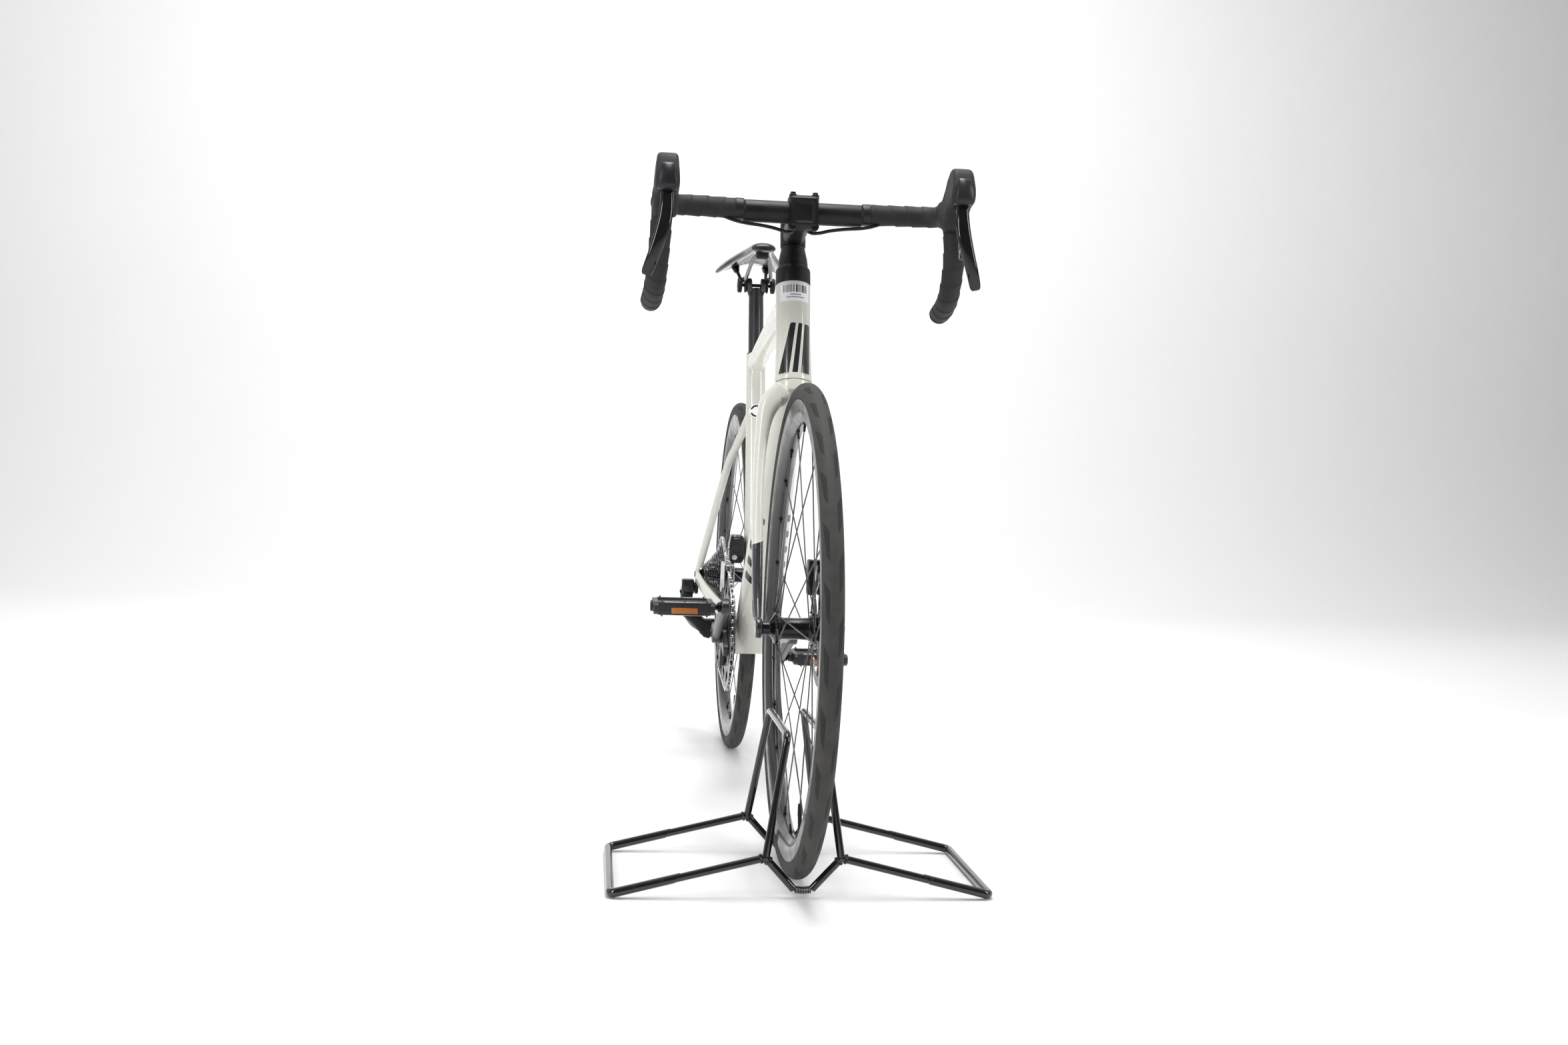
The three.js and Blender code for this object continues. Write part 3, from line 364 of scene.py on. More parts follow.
def oval(point, tangent, width, depth, sides, fullness):
    across = (Vector((1, 0, 0)) - tangent * tangent.x).normalized()
    deep = tangent.cross(across)
    ring = []
    for i in range(sides):
        c, s = math.cos(TAU * i / sides), math.sin(TAU * i / sides)
        x = math.copysign(abs(c) ** (2 / fullness), c) * width / 2
        y = math.copysign(abs(s) ** (2 / fullness), s) * depth / 2
        ring.append(point + across * x + deep * y)
    return ring


def loft(stations, sides=32, fullness=2.4, domed=0.0):
    """A skin over oval sections [x, y, z, width, depth], with the width along X."""
    rows = stations_through(stations, 6)
    centres = [Vector(r[:3]) for r in rows]
    rings = []
    for k, row in enumerate(rows):
        tangent = (centres[min(k + 1, len(rows) - 1)] - centres[max(k - 1, 0)]).normalized()
        rings.append(oval(centres[k], tangent, row[3], row[4], sides, fullness))
    if domed:
        for end, inner in ((0, 1), (-1, -2)):
            outward = (centres[end] - centres[inner]).normalized()
            middle_point = centres[end]
            extra = []
            for share in (0.35, 0.7, 0.95):
                size = math.sqrt(1 - share * share)
                extra.append(
                    [middle_point + (p - middle_point) * size + outward * domed * share for p in rings[end]]
                )
            rings = extra[::-1] + rings if end == 0 else rings + extra
    return skin(rings)


def inset(outline, amount):
    """Moves a flat outline's points towards its inside."""
    count = len(outline)
    area = sum(outline[i - 1].x * outline[i].y - outline[i].x * outline[i - 1].y for i in range(count))
    side = 1 if area > 0 else -1
    made = []
    for i in range(count):
        before, here, after = outline[i - 1], outline[i], outline[(i + 1) % count]
        d1, d2 = (here - before), (after - here)
        if d1.length < 1e-6 or d2.length < 1e-6:
            made.append(here.copy())
            continue
        n1 = Vector((-d1.y, d1.x)).normalized() * side
        n2 = Vector((-d2.y, d2.x)).normalized() * side
        mitre = n1 + n2
        scale = 1 / max(0.5, mitre.length_squared / 2)
        made.append(here + mitre * scale * amount)
    return made


def plate(outline, x0, x1, holes=(), edge=0.4):
    """A flat piece across X: its outline and holes are (y, z) points."""
    outlines = [[Vector(p) for p in outline]] + [[Vector(p) for p in h] for h in holes]
    points, faces = [], []
    levels = ((x0, True), (x0 + edge, False), (x1 - edge, False), (x1, True))
    starts = []
    for x, at_face in levels:
        row = []
        for k, ring in enumerate(outlines):
            shown = ring
            if at_face and edge:
                shown = inset(ring, edge if k == 0 else -edge)
            row.append(len(points))
            points.extend(Vector((x, p.x, p.y)) for p in shown)
        starts.append(row)
    for k, ring in enumerate(outlines):
        count = len(ring)
        area = sum(ring[i - 1].x * ring[i].y - ring[i].x * ring[i - 1].y for i in range(count))
        outward = (area > 0) == (k == 0)
        for a, b in zip(starts, starts[1:]):
            for i in range(count):
                j = (i + 1) % count
                face = (a[k] + i, a[k] + j, b[k] + j, b[k] + i)
                faces.append(face if outward else face[::-1])
    flat = [[Vector((p.x, p.y, 0)) for p in ring] for ring in outlines]
    triangles = tessellate_polygon(flat)
    order = [starts[0][k] + i for k, ring in enumerate(outlines) for i in range(len(ring))]
    last = [starts[3][k] + i for k, ring in enumerate(outlines) for i in range(len(ring))]
    every = [p for ring in outlines for p in ring]
    for a, b, c in triangles:
        turn = (every[b] - every[a]).cross(every[c] - every[a])
        if turn < 0:
            b, c = c, b
        faces.append((last[a], last[b], last[c]))
        faces.append((order[a], order[c], order[b]))
    return Shape(points, faces)


def standing_plate(outline, y0, y1, edge=0.8):
    """A flat piece across Y: its outline is (x, z) points."""
    flat = plate(outline, y0, y1, (), edge)
    return flat.reshaped(lambda p: Vector((p.y, p.x, p.z)))


def cushioned(outline, x0, x1, soft, steps, share=1.0):
    """A thick plate across X with rounded rims; share is how far its outline draws in at them."""
    rings = []
    quarter = [k / steps * math.pi / 2 for k in range(steps + 1)]
    for x, inward, turns in ((x0, 1, quarter), (x1, -1, quarter[::-1])):
        for turn in turns:
            ring = inset(outline, soft * (1 - math.sin(turn)) * share)
            rings.append([Vector((x + inward * soft * (1 - math.cos(turn)), p.x, p.y)) for p in ring])
    return skin(rings)


def slab(low, high, soft=1.0, steps=2):
    """A block with rounded edges."""
    (x0, y0, z0), (x1, y1, z1) = low, high
    outline = rounded([(y0, z0), (y1, z0), (y1, z1), (y0, z1)], soft, steps)
    return cushioned(outline, x0, x1, soft, steps)


def turned_across(profile, soft, centre, sides, closed=False, x=0.0):
    """Turned about the line that runs along x through a centre; distances count from x."""
    return turned(profile, soft, (x, centre.y, centre.z), (1, 0, 0), sides, closed)


def socket_screw(start, axis, head=4.2, height=4.0, key=1.9):
    """A cap screw's head: a low drum with a hexagon recess."""
    axis = Vector(axis).normalized()
    drum = turned(
        [(0, 0), (head, 0), (head, height), (key + 0.9, height), (key + 0.5, height - 0.3)],
        0.4,
        start,
        axis,
        24,
    )
    recess = [(key + 0.6, height - 0.25), (key, height - 0.4), (key, height - 2), (0, height - 2)]
    return drum + lathe(recess, start, axis, 6)


def ball(centre, radii, sides=20, rows=12):
    centre = Vector(centre)
    rings = []
    for k in range(rows + 1):
        turn = math.pi * k / rows - math.pi / 2
        if k in (0, rows):
            rings.append([centre + Vector((0, 0, radii[2] * math.sin(turn)))])
            continue
        wide, deep = radii[0] * math.cos(turn), radii[1] * math.cos(turn)
        ring = []
        for i in range(sides):
            around = TAU * i / sides
            spot = (wide * math.cos(around), deep * math.sin(around), radii[2] * math.sin(turn))
            ring.append(centre + Vector(spot))
        rings.append(ring)
    return skin(rings)


# ---------------------------------------------------------------- pieces
def mesh_of(name, shape):
    mesh = bpy.data.meshes.new(name)
    mesh.from_pydata([p * MM for p in shape.points], [], shape.faces)
    work = bmesh.new()
    work.from_mesh(mesh)
    bmesh.ops.remove_doubles(work, verts=work.verts, dist=1e-6)
    bmesh.ops.dissolve_degenerate(work, edges=work.edges, dist=1e-7)
    bmesh.ops.recalc_face_normals(work, faces=work.faces)
    work.to_mesh(mesh)
    work.free()
    return mesh


def shade(mesh, sharp=35):
    """Smooth faces, with edges sharper than the given angle kept sharp."""
    work = bmesh.new()
    work.from_mesh(mesh)
    limit = math.radians(sharp)
    for face in work.faces:
        face.smooth = True
    for edge in work.edges:
        edge.smooth = len(edge.link_faces) != 2 or edge.calc_face_angle(0) < limit
    work.to_mesh(mesh)
    work.free()


def fused(name, shape, voxel, rounds):
    """One skin over overlapping shapes, with its inner corners filled as moulded ones are."""
    made = bpy.data.objects.new(name, mesh_of(name, shape))
    bpy.context.scene.collection.objects.link(made)
    remesh = made.modifiers.new("remesh", "REMESH")
    remesh.mode = "VOXEL"
    remesh.voxel_size = voxel * MM
    remesh.adaptivity = 0
    smooth = made.modifiers.new("smooth", "SMOOTH")
    smooth.factor = 0.5
    smooth.iterations = rounds
    bpy.context.view_layer.update()
    evaluated = made.evaluated_get(bpy.context.evaluated_depsgraph_get())
    mesh = bpy.data.meshes.new_from_object(evaluated)
    bpy.data.objects.remove(made)
    mesh.name = name
    return mesh


def piece(name, shape, body, material, replaces=(), sharp=35):
    """A finished piece: its surface, the body it rides on and its material."""
    mesh = shape if isinstance(shape, bpy.types.Mesh) else mesh_of(name, shape)
    shade(mesh, sharp)
    mesh.materials.clear()
    mesh.materials.append(material)
    made = bpy.data.objects.new(name, mesh)
    bpy.context.scene.collection.objects.link(made)
    if body:
        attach(made, body)
    if replaces:
        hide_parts(*([replaces] if isinstance(replaces, str) else replaces))
    return made


# ---------------------------------------------------------------- materials
class Paint:
    """A material under construction: small functions that each add one node."""

    def __init__(self, name, color, roughness, metallic=0.0, coat=0.0, coat_roughness=0.1, specular=0.5):
        self.material = bpy.data.materials.new(name)
        self.material.use_nodes = True
        self.tree = self.material.node_tree
        self.shader = next(n for n in self.tree.nodes if n.type == "BSDF_PRINCIPLED")
        self.set("Base Color", (*color, 1))
        self.set("Roughness", roughness)
        self.set("Metallic", metallic)
        self.set("Coat Weight", coat)
        self.set("Coat Roughness", coat_roughness)
        self.set("Specular IOR Level", specular)
        self.place = self.node("ShaderNodeTexCoord").outputs["Object"]

    def set(self, socket, value):
        self.shader.inputs[socket].default_value = value

    def node(self, kind, **settings):
        made = self.tree.nodes.new(kind)
        for key, value in settings.items():
            setattr(made, key, value)
        return made

    def join(self, source, socket):
        if isinstance(source, bpy.types.NodeSocket):
            self.tree.links.new(source, socket)
        elif socket.type == "RGBA" and len(source) == 3:
            socket.default_value = (*source, 1)
        else:
            socket.default_value = source

    def math(self, operation, a, b=0.0):
        made = self.node("ShaderNodeMath", operation=operation)
        for value, socket in zip((a, b), made.inputs):
            self.join(value, socket)
        return made.outputs[0]

    def axes(self):
        made = self.node("ShaderNodeSeparateXYZ")
        self.join(self.place, made.inputs[0])
        return made.outputs[0], made.outputs[1], made.outputs[2]

    def stretched(self, stretch):
        made = self.node("ShaderNodeMapping")
        self.join(self.place, made.inputs["Vector"])
        made.inputs["Scale"].default_value = stretch
        return made.outputs[0]

    def noise(self, scale, detail=3.0, roughness=0.55, stretch=(1, 1, 1)):
        made = self.node("ShaderNodeTexNoise")
        self.join(self.stretched(stretch), made.inputs["Vector"])
        made.inputs["Scale"].default_value = scale
        made.inputs["Detail"].default_value = detail
        made.inputs["Roughness"].default_value = roughness
        return made.outputs["Fac"]

    def cells(self, scale):
        made = self.node("ShaderNodeTexVoronoi", feature="F1")
        self.join(self.stretched((1, 1, 1)), made.inputs["Vector"])
        made.inputs["Scale"].default_value = scale
        return made.outputs["Distance"]

    def ramp(self, value, low, high, to_low=0.0, to_high=1.0):
        made = self.node("ShaderNodeMapRange")
        for source, socket in zip((value, low, high, to_low, to_high), made.inputs):
            self.join(source, socket)
        return made.outputs[0]

    def mix(self, share, a, b):
        made = self.node("ShaderNodeMix", data_type="RGBA")
        factor, first, second = (s for s in made.inputs if s.enabled)
        self.join(share, factor)
        self.join(a, first)
        self.join(b, second)
        return next(s for s in made.outputs if s.enabled)

    def color(self, source):
        self.join(source, self.shader.inputs["Base Color"])

    def roughness(self, source):
        self.join(source, self.shader.inputs["Roughness"])

    def bump(self, height, strength, distance, under=None):
        made = self.node("ShaderNodeBump")
        made.inputs["Strength"].default_value = strength
        made.inputs["Distance"].default_value = distance * MM
        self.join(height, made.inputs["Height"])
        if under is not None:
            self.join(under, made.inputs["Normal"])
        self.join(made.outputs[0], self.shader.inputs["Normal"])
        return made.outputs[0]


def plain_finish(name, color, roughness, metallic=0.0, coat=0.0, grain=900.0, wear=0.25, relief=0.03):
    """A finish with its own fine grain, slight patches of colour and uneven gloss."""
    paint = Paint(name, color, roughness, metallic, coat, specular=0.3)
    patches = paint.noise(26, 4)
    fine = paint.noise(grain, 3)
    darker = tuple(c * (1 - wear) for c in color)
    lighter = tuple(min(1, c * (1 + wear) + 0.004) for c in color)
    paint.color(paint.mix(paint.ramp(patches, 0.3, 0.7), darker, lighter))
    uneven = paint.math("ADD", paint.math("MULTIPLY", patches, 0.6), paint.math("MULTIPLY", fine, 0.4))
    paint.roughness(paint.ramp(uneven, 0.3, 0.7, max(0.02, roughness * 0.8), min(1, roughness * 1.25)))
    paint.bump(fine, 0.35, relief)
    return paint.material


def gloss_paint(name, color, roughness=0.3, coat=0.6, wear=0.04):
    """Lacquer: a trace of orange peel, faint dust and a clear coat."""
    paint = Paint(name, color, roughness, 0.0, coat, coat_roughness=0.06)
    clouds = paint.noise(9, 3)
    dust = paint.cells(420)
    base = paint.mix(paint.ramp(clouds, 0.3, 0.7), tuple(c * (1 - wear) for c in color), color)
    paint.color(paint.mix(paint.ramp(dust, 0.02, 0.05, 0.10, 0.0), base, tuple(c * 0.72 for c in color)))
    paint.roughness(paint.ramp(paint.noise(60, 4), 0.3, 0.7, roughness * 0.85, roughness * 1.2))
    paint.bump(paint.noise(330, 2), 0.12, 0.02)
    return paint.material


IVORY = (0.66, 0.65, 0.585)
CHARCOAL = (0.013, 0.0135, 0.016)


def fork_paint():
    """Ivory above and charcoal on the lower legs, with a sharp slanted line between."""
    paint = Paint("fork_paint", IVORY, 0.32, 0.0, 0.6, coat_roughness=0.06)
    x, _, z = paint.axes()
    split = FRONT_AXLE.z + 113.5
    spread = paint.math("SUBTRACT", paint.math("ABSOLUTE", x), 0.053)
    edge = paint.math("ADD", z, paint.math("MULTIPLY", spread, 0.35))
    lower = paint.ramp(edge, (split - 0.15) * MM, (split + 0.15) * MM, 1, 0)
    clouds = paint.ramp(paint.noise(9, 3), 0.3, 0.7)
    pale = paint.mix(clouds, tuple(c * 0.96 for c in IVORY), IVORY)
    dark = paint.mix(clouds, CHARCOAL, tuple(c * 1.25 for c in CHARCOAL))
    dust = paint.ramp(paint.cells(380), 0.02, 0.05, 0.12, 0)
    body = paint.mix(lower, pale, dark)
    paint.color(paint.mix(dust, body, (0.3, 0.3, 0.29)))
    paint.roughness(paint.ramp(paint.noise(60, 4), 0.3, 0.7, 0.26, 0.38))
    paint.bump(paint.noise(330, 2), 0.12, 0.02)
    return paint.material


def tyre_rubber(name, axle):
    """Dull rubber: darker slanted patches of file tread on each shoulder, and road dust."""
    paint = Paint(name, (0.04, 0.039, 0.037), 0.7, specular=0.3)
    x, y, z = paint.axes()
    rise = paint.math("SUBTRACT", z, axle.z * MM)
    forward = paint.math("SUBTRACT", y, axle.y * MM)
    angle = paint.math("ARCTAN2", rise, forward)
    spread = paint.math("ABSOLUTE", x)
    lean = paint.math("MULTIPLY", spread, 2.2)
    arc = paint.math("MULTIPLY", angle, WHEEL_RADIUS * MM)
    patches_round = 28
    pitch = TAU * WHEEL_RADIUS * MM / patches_round
    side_shift = paint.math("MULTIPLY", paint.math("GREATER_THAN", x, 0.0), pitch / 2)
    along = paint.math("ADD", paint.math("ADD", arc, lean), side_shift)
    share = paint.math("FRACT", paint.math("DIVIDE", along, pitch))
    rise_in = paint.ramp(share, 0.10, 0.14)
    fall_out = paint.ramp(share, 0.62, 0.66, 1, 0)
    inner = paint.ramp(spread, 0.0052, 0.0056)
    outer = paint.ramp(spread, 0.0118, 0.0123, 1, 0)
    taper = paint.math("LESS_THAN", paint.math("ADD", spread, paint.math("MULTIPLY", share, 0.006)), 0.0135)
    shoulder = paint.math("MULTIPLY", inner, outer)
    patch = paint.math("MULTIPLY", paint.math("MULTIPLY", rise_in, fall_out), shoulder)
    patch = paint.math("MULTIPLY", patch, taper)
    slanted = paint.math("ADD", arc, paint.math("MULTIPLY", spread, 3.5))
    blocks = paint.math("FRACT", paint.math("DIVIDE", slanted, pitch / 8))
    gaps = paint.ramp(blocks, 0.12, 0.24)
    hatch = paint.math("ADD", paint.math("MULTIPLY", gaps, 0.5), 0.5)
    tread = paint.math("MULTIPLY", patch, hatch)
    sidewall = paint.ramp(spread, 0.0125, 0.0135)
    dust = paint.ramp(paint.noise(34, 5), 0.42, 0.72)
    speck = paint.ramp(paint.noise(1600, 3), 0.45, 0.7)
    worn = paint.mix(dust, (0.036, 0.035, 0.033), (0.058, 0.056, 0.052))
    worn = paint.mix(paint.math("MULTIPLY", speck, 0.35), worn, (0.085, 0.083, 0.078))
    worn = paint.mix(paint.math("MULTIPLY", tread, 0.85), worn, (0.013, 0.013, 0.013))
    paint.color(paint.mix(paint.math("MULTIPLY", sidewall, 0.5), worn, (0.03, 0.03, 0.03)))
    paint.roughness(paint.ramp(dust, 0, 1, 0.68, 0.85))
    first = paint.bump(paint.math("MULTIPLY", tread, -1.0), 0.6, 0.35)
    paint.bump(paint.noise(2400, 3), 0.5, 0.06, first)
    return paint.material


def tape_finish():
    """Cushioned bar tape: a fine pebbled grain with dusty high spots."""
    paint = Paint("bar_tape", (0.014, 0.014, 0.016), 0.7, specular=0.3)
    pebbles = paint.cells(1300)
    scuffs = paint.ramp(paint.noise(45, 5), 0.5, 0.75)
    base = paint.mix(scuffs, (0.011, 0.011, 0.013), (0.030, 0.030, 0.032))
    paint.color(paint.mix(paint.ramp(pebbles, 0.1, 0.6, 0, 0.5), base, (0.024, 0.024, 0.026)))
    paint.roughness(paint.ramp(scuffs, 0, 1, 0.62, 0.82))
    first = paint.bump(pebbles, 0.5, 0.12)
    paint.bump(paint.noise(160, 3), 0.25, 0.4, first)
    return paint.material


def brushed(name, color, roughness, stretch, metallic=1.0, scale=700):
    """Metal with fine lines along one way."""
    paint = Paint(name, color, roughness, metallic)
    lines = paint.noise(scale, 4, 0.7, stretch)
    patches = paint.noise(30, 3)
    paint.color(paint.mix(paint.ramp(patches, 0.3, 0.7), tuple(c * 0.8 for c in color), color))
    paint.roughness(paint.ramp(lines, 0.25, 0.75, roughness * 0.7, roughness * 1.4))
    paint.bump(lines, 0.25, 0.02)
    return paint.material


def chain_metal():
    """Plated links with oily dark patches in between."""
    paint = Paint("chain_steel", (0.55, 0.55, 0.54), 0.22, 1.0)
    oil = paint.ramp(paint.noise(260, 4), 0.46, 0.62)
    paint.color(paint.mix(oil, (0.62, 0.62, 0.61), (0.10, 0.095, 0.085)))
    paint.roughness(paint.ramp(oil, 0, 1, 0.16, 0.42))
    paint.bump(paint.noise(1500, 3), 0.2, 0.02)
    return paint.material


def reflector_plastic():
    """Orange moulded reflector: a grid of small prisms under a clear face."""
    paint = Paint("reflector_orange", (0.42, 0.12, 0.005), 0.22, 0.0, 0.5, coat_roughness=0.05)
    x, _, z = paint.axes()
    grid = []
    for source in (x, z):
        cell = paint.math("FRACT", paint.math("MULTIPLY", source, 620))
        grid.append(paint.math("ABSOLUTE", paint.math("SUBTRACT", cell, 0.5)))
    prism = paint.math("ADD", grid[0], grid[1])
    paint.color(paint.mix(paint.ramp(prism, 0.2, 0.9), (0.25, 0.055, 0.002), (0.62, 0.22, 0.02)))
    paint.bump(prism, 0.6, 0.5)
    return paint.material


def enamel():
    """Gloss black enamel on tube, with small chips and rubbed high spots."""
    paint = Paint("stand_enamel", (0.006, 0.006, 0.007), 0.16, 0.0, 0.5, coat_roughness=0.05)
    rubs = paint.ramp(paint.noise(90, 5, 0.65), 0.60, 0.74)
    chips = paint.ramp(paint.cells(160), 0.035, 0.055, 1, 0)
    base = paint.mix(paint.math("MULTIPLY", rubs, 0.5), (0.006, 0.006, 0.007), (0.05, 0.05, 0.052))
    paint.color(paint.mix(paint.math("MULTIPLY", chips, 0.55), base, (0.22, 0.22, 0.22)))
    paint.roughness(paint.ramp(rubs, 0, 1, 0.13, 0.34))
    paint.bump(paint.noise(240, 3), 0.14, 0.05)
    return paint.material


def carbon_gloss(name, color, roughness=0.18, coat=0.8):
    """Lacquered carbon: a barely visible weave under a clear coat."""
    paint = Paint(name, color, roughness, 0.0, coat, coat_roughness=0.04)
    _, y, z = paint.axes()
    first = paint.math("SINE", paint.math("MULTIPLY", paint.math("ADD", y, z), 1500))
    second = paint.math("SINE", paint.math("MULTIPLY", paint.math("SUBTRACT", y, z), 1500))
    weave = paint.ramp(paint.math("MULTIPLY", first, second), -1, 1)
    lift = tuple(min(1, c * 1.35 + 0.004) for c in color)
    base = paint.mix(weave, color, lift)
    smudge = paint.ramp(paint.noise(28, 4), 0.35, 0.7)
    paint.color(base)
    paint.roughness(paint.ramp(smudge, 0, 1, roughness * 0.8, roughness * 1.6))
    paint.bump(paint.noise(300, 2), 0.06, 0.02)
    return paint.material


def saddle_skin():
    """Smooth black cover with a faint moulded grain."""
    return plain_finish("saddle_cover", (0.008, 0.008, 0.009), 0.30, 0, 0.25, grain=1500, relief=0.05)


M = {
    "ivory": gloss_paint("frame_paint", IVORY),
    "fork": fork_paint(),
    "charcoal": gloss_paint("charcoal_paint", CHARCOAL, 0.3, 0.5, 0.12),
    "front_tyre": tyre_rubber("front_tyre_rubber", FRONT_AXLE),
    "rear_tyre": tyre_rubber("rear_tyre_rubber", REAR_AXLE),
    "rim": carbon_gloss("rim_carbon", (0.009, 0.009, 0.010), 0.26, 0.3),
    "hub": plain_finish("hub_black", (0.008, 0.008, 0.009), 0.2, 0.6, 0.3, wear=0.1),
    "spoke": brushed("spoke_steel", (0.11, 0.11, 0.115), 0.32, (1, 1, 1)),
    "nipple": plain_finish("nipple_black", (0.006, 0.006, 0.007), 0.35, 0.4),
    "rotor": brushed("rotor_steel", (0.42, 0.42, 0.43), 0.25, (1, 1, 1), scale=900),
    "axle": plain_finish("axle_black", (0.012, 0.012, 0.013), 0.35, 0.6),
    "bearing": brushed("bearing_steel", (0.5, 0.5, 0.52), 0.25, (20, 1, 1)),
    "matte": plain_finish("cockpit_black", (0.008, 0.008, 0.009), 0.42, 0.2, grain=1400, wear=0.12),
    "cover": plain_finish("cover_black", (0.010, 0.010, 0.011), 0.42, grain=1200, wear=0.12),
    "tape": tape_finish(),
    "hood": plain_finish("hood_rubber", (0.017, 0.017, 0.019), 0.6, grain=1900, wear=0.15, relief=0.06),
    "panel": plain_finish("hood_panel", (0.014, 0.014, 0.016), 0.3, grain=1500, wear=0.12),
    "lever": plain_finish("lever_black", (0.004, 0.004, 0.0045), 0.10, 0.0, 0.35, 700, 0.1, 0.01),
    "hose": plain_finish("hose_black", (0.008, 0.008, 0.009), 0.38, grain=800),
    "caliper": plain_finish("caliper_black", (0.010, 0.010, 0.011), 0.32, 0.5),
    "post": carbon_gloss("seatpost_carbon", (0.012, 0.012, 0.014), 0.34, 0.2),
    "saddle": saddle_skin(),
    "shell": carbon_gloss("saddle_shell", (0.010, 0.010, 0.011), 0.12, 0.9),
    "rail": brushed("rail_metal", (0.30, 0.30, 0.32), 0.2, (1, 1, 1)),
    "crank": brushed("crank_grey", (0.09, 0.09, 0.095), 0.34, (1, 1, 1), 0.9, 500),
    "ring": brushed("ring_grey", (0.14, 0.14, 0.145), 0.32, (1, 1, 1), 1.0, 600),
    "chain": chain_metal(),
    "sprocket": brushed("cassette_steel", (0.30, 0.30, 0.31), 0.22, (1, 1, 1)),
    "spacer": plain_finish("spacer_black", (0.005, 0.005, 0.006), 0.4, 0.3),
    "mech": plain_finish("derailleur_black", (0.010, 0.010, 0.011), 0.26, 0.1, 0.25, wear=0.12),
    "pedal": plain_finish("pedal_grey", (0.026, 0.026, 0.028), 0.36, grain=1100, wear=0.15),
    "pin": brushed("pin_steel", (0.10, 0.10, 0.105), 0.35, (1, 1, 1)),
    "edge": brushed("bright_edge", (0.62, 0.62, 0.63), 0.22, (1, 1, 1)),
    "reflector": reflector_plastic(),
    "enamel": enamel(),
    "label": plain_finish("label_paper", (0.84, 0.84, 0.86), 0.5, wear=0.03),
    "red": plain_finish("red_mark", (0.42, 0.03, 0.03), 0.4),
}


# ---------------------------------------------------------------- stand
STAND_PIVOT = joint_place("left_half_opening")
FOOT_X = STAND_PIVOT.x
FOOT_TUBE = STAND_PIVOT.z
STAND_TUBE = 5.2
STAND_CENTRE = STAND_PIVOT.y
STAND_HALF_DEPTH = middle("stand_rear_spring").y - STAND_CENTRE
VALLEY = Vector((box("stand_rear_spring")[1].x, 0, middle("stand_rear_spring").z))
JUNCTION = Vector((50, 0, 54))
LOOP_TOP = Vector((24.5, 0, box("stand_left_half")[1].z - STAND_TUBE))
LOOP_HALF_DEPTH = 108
FOOT_INSET = 12


def weld(centre, axis, radius, seed):
    """A ripple-surfaced bead round a tube."""
    chance = random.Random(seed)
    axis = Vector(axis).normalized()
    across = axis.orthogonal().normalized()
    deep = axis.cross(across)
    ripples = 26
    rings = []
    for i in range(ripples * 3):
        turn = TAU * i / (ripples * 3)
        outward = across * math.cos(turn) + deep * math.sin(turn)
        bead = 1.25 + 0.25 * math.sin(turn * ripples) + chance.uniform(-0.08, 0.08)
        spot = Vector(centre) + outward * radius
        rings.append(
            [
                spot + (outward * math.cos(TAU * k / 8) + axis * math.sin(TAU * k / 8) * 1.5) * bead
                for k in range(8)
            ]
        )
    return skin(rings, closed=True)


def stand_half(side):
    whole = Shape()
    for end in (-1, 1):
        y = STAND_CENTRE + end * STAND_HALF_DEPTH
        corner = (side * FOOT_X, y, FOOT_TUBE)
        start = (side * FOOT_X, y - end * FOOT_INSET, FOOT_TUBE)
        junction = Vector((side * JUNCTION.x, y, JUNCTION.z))
        leg = bent([start, corner, junction], 10, 12)
        knee = leg[-1].lerp(leg[-2], 0.6)
        sleeve = leg[:-1] + [knee]
        outer = tube(sleeve, FOOT_TUBE, 24, 0.5)
        slant = (knee - leg[-2]).normalized()
        whole += outer.reshaped(lambda p: p + slant * 0.9 * (p.z - knee.z) if (p - knee).length < 8 else p)
        inner = tube([knee.lerp(leg[-2], 0.05), leg[-1]], STAND_TUBE, 24)
        foot = Vector((side * (VALLEY.x - 0.4), y, VALLEY.z))
        drop = tube([junction, foot], STAND_TUBE - 0.1, 24, 0.8)
        whole += inner + drop
        whole += ball(junction, (STAND_TUBE + 0.2,) * 3, 24, 16)
        whole += weld(junction + (foot - junction).normalized() * 5.5, foot - junction, STAND_TUBE, 3 + end)
        whole += weld(junction + (knee - junction).normalized() * 6, knee - junction, STAND_TUBE, 7 + end)
    loop = bent(
        [
            (side * JUNCTION.x, STAND_CENTRE - STAND_HALF_DEPTH, JUNCTION.z - 2),
            (side * LOOP_TOP.x, STAND_CENTRE - LOOP_HALF_DEPTH - 4, LOOP_TOP.z),
            (side * LOOP_TOP.x, STAND_CENTRE + LOOP_HALF_DEPTH - 4, LOOP_TOP.z),
            (side * JUNCTION.x, STAND_CENTRE + STAND_HALF_DEPTH, JUNCTION.z - 2),
        ],
        15,
        12,
    )
    return whole + tube(loop, STAND_TUBE, 24)


def foot_bar(side):
    reach = STAND_HALF_DEPTH - FOOT_INSET - 0.2
    ends = [Vector((side * FOOT_X, STAND_CENTRE + end * reach, FOOT_TUBE)) for end in (-1, 1)]
    return tube([ends[0].lerp(ends[1], i / 12) for i in range(13)], FOOT_TUBE, 24, 0.2)


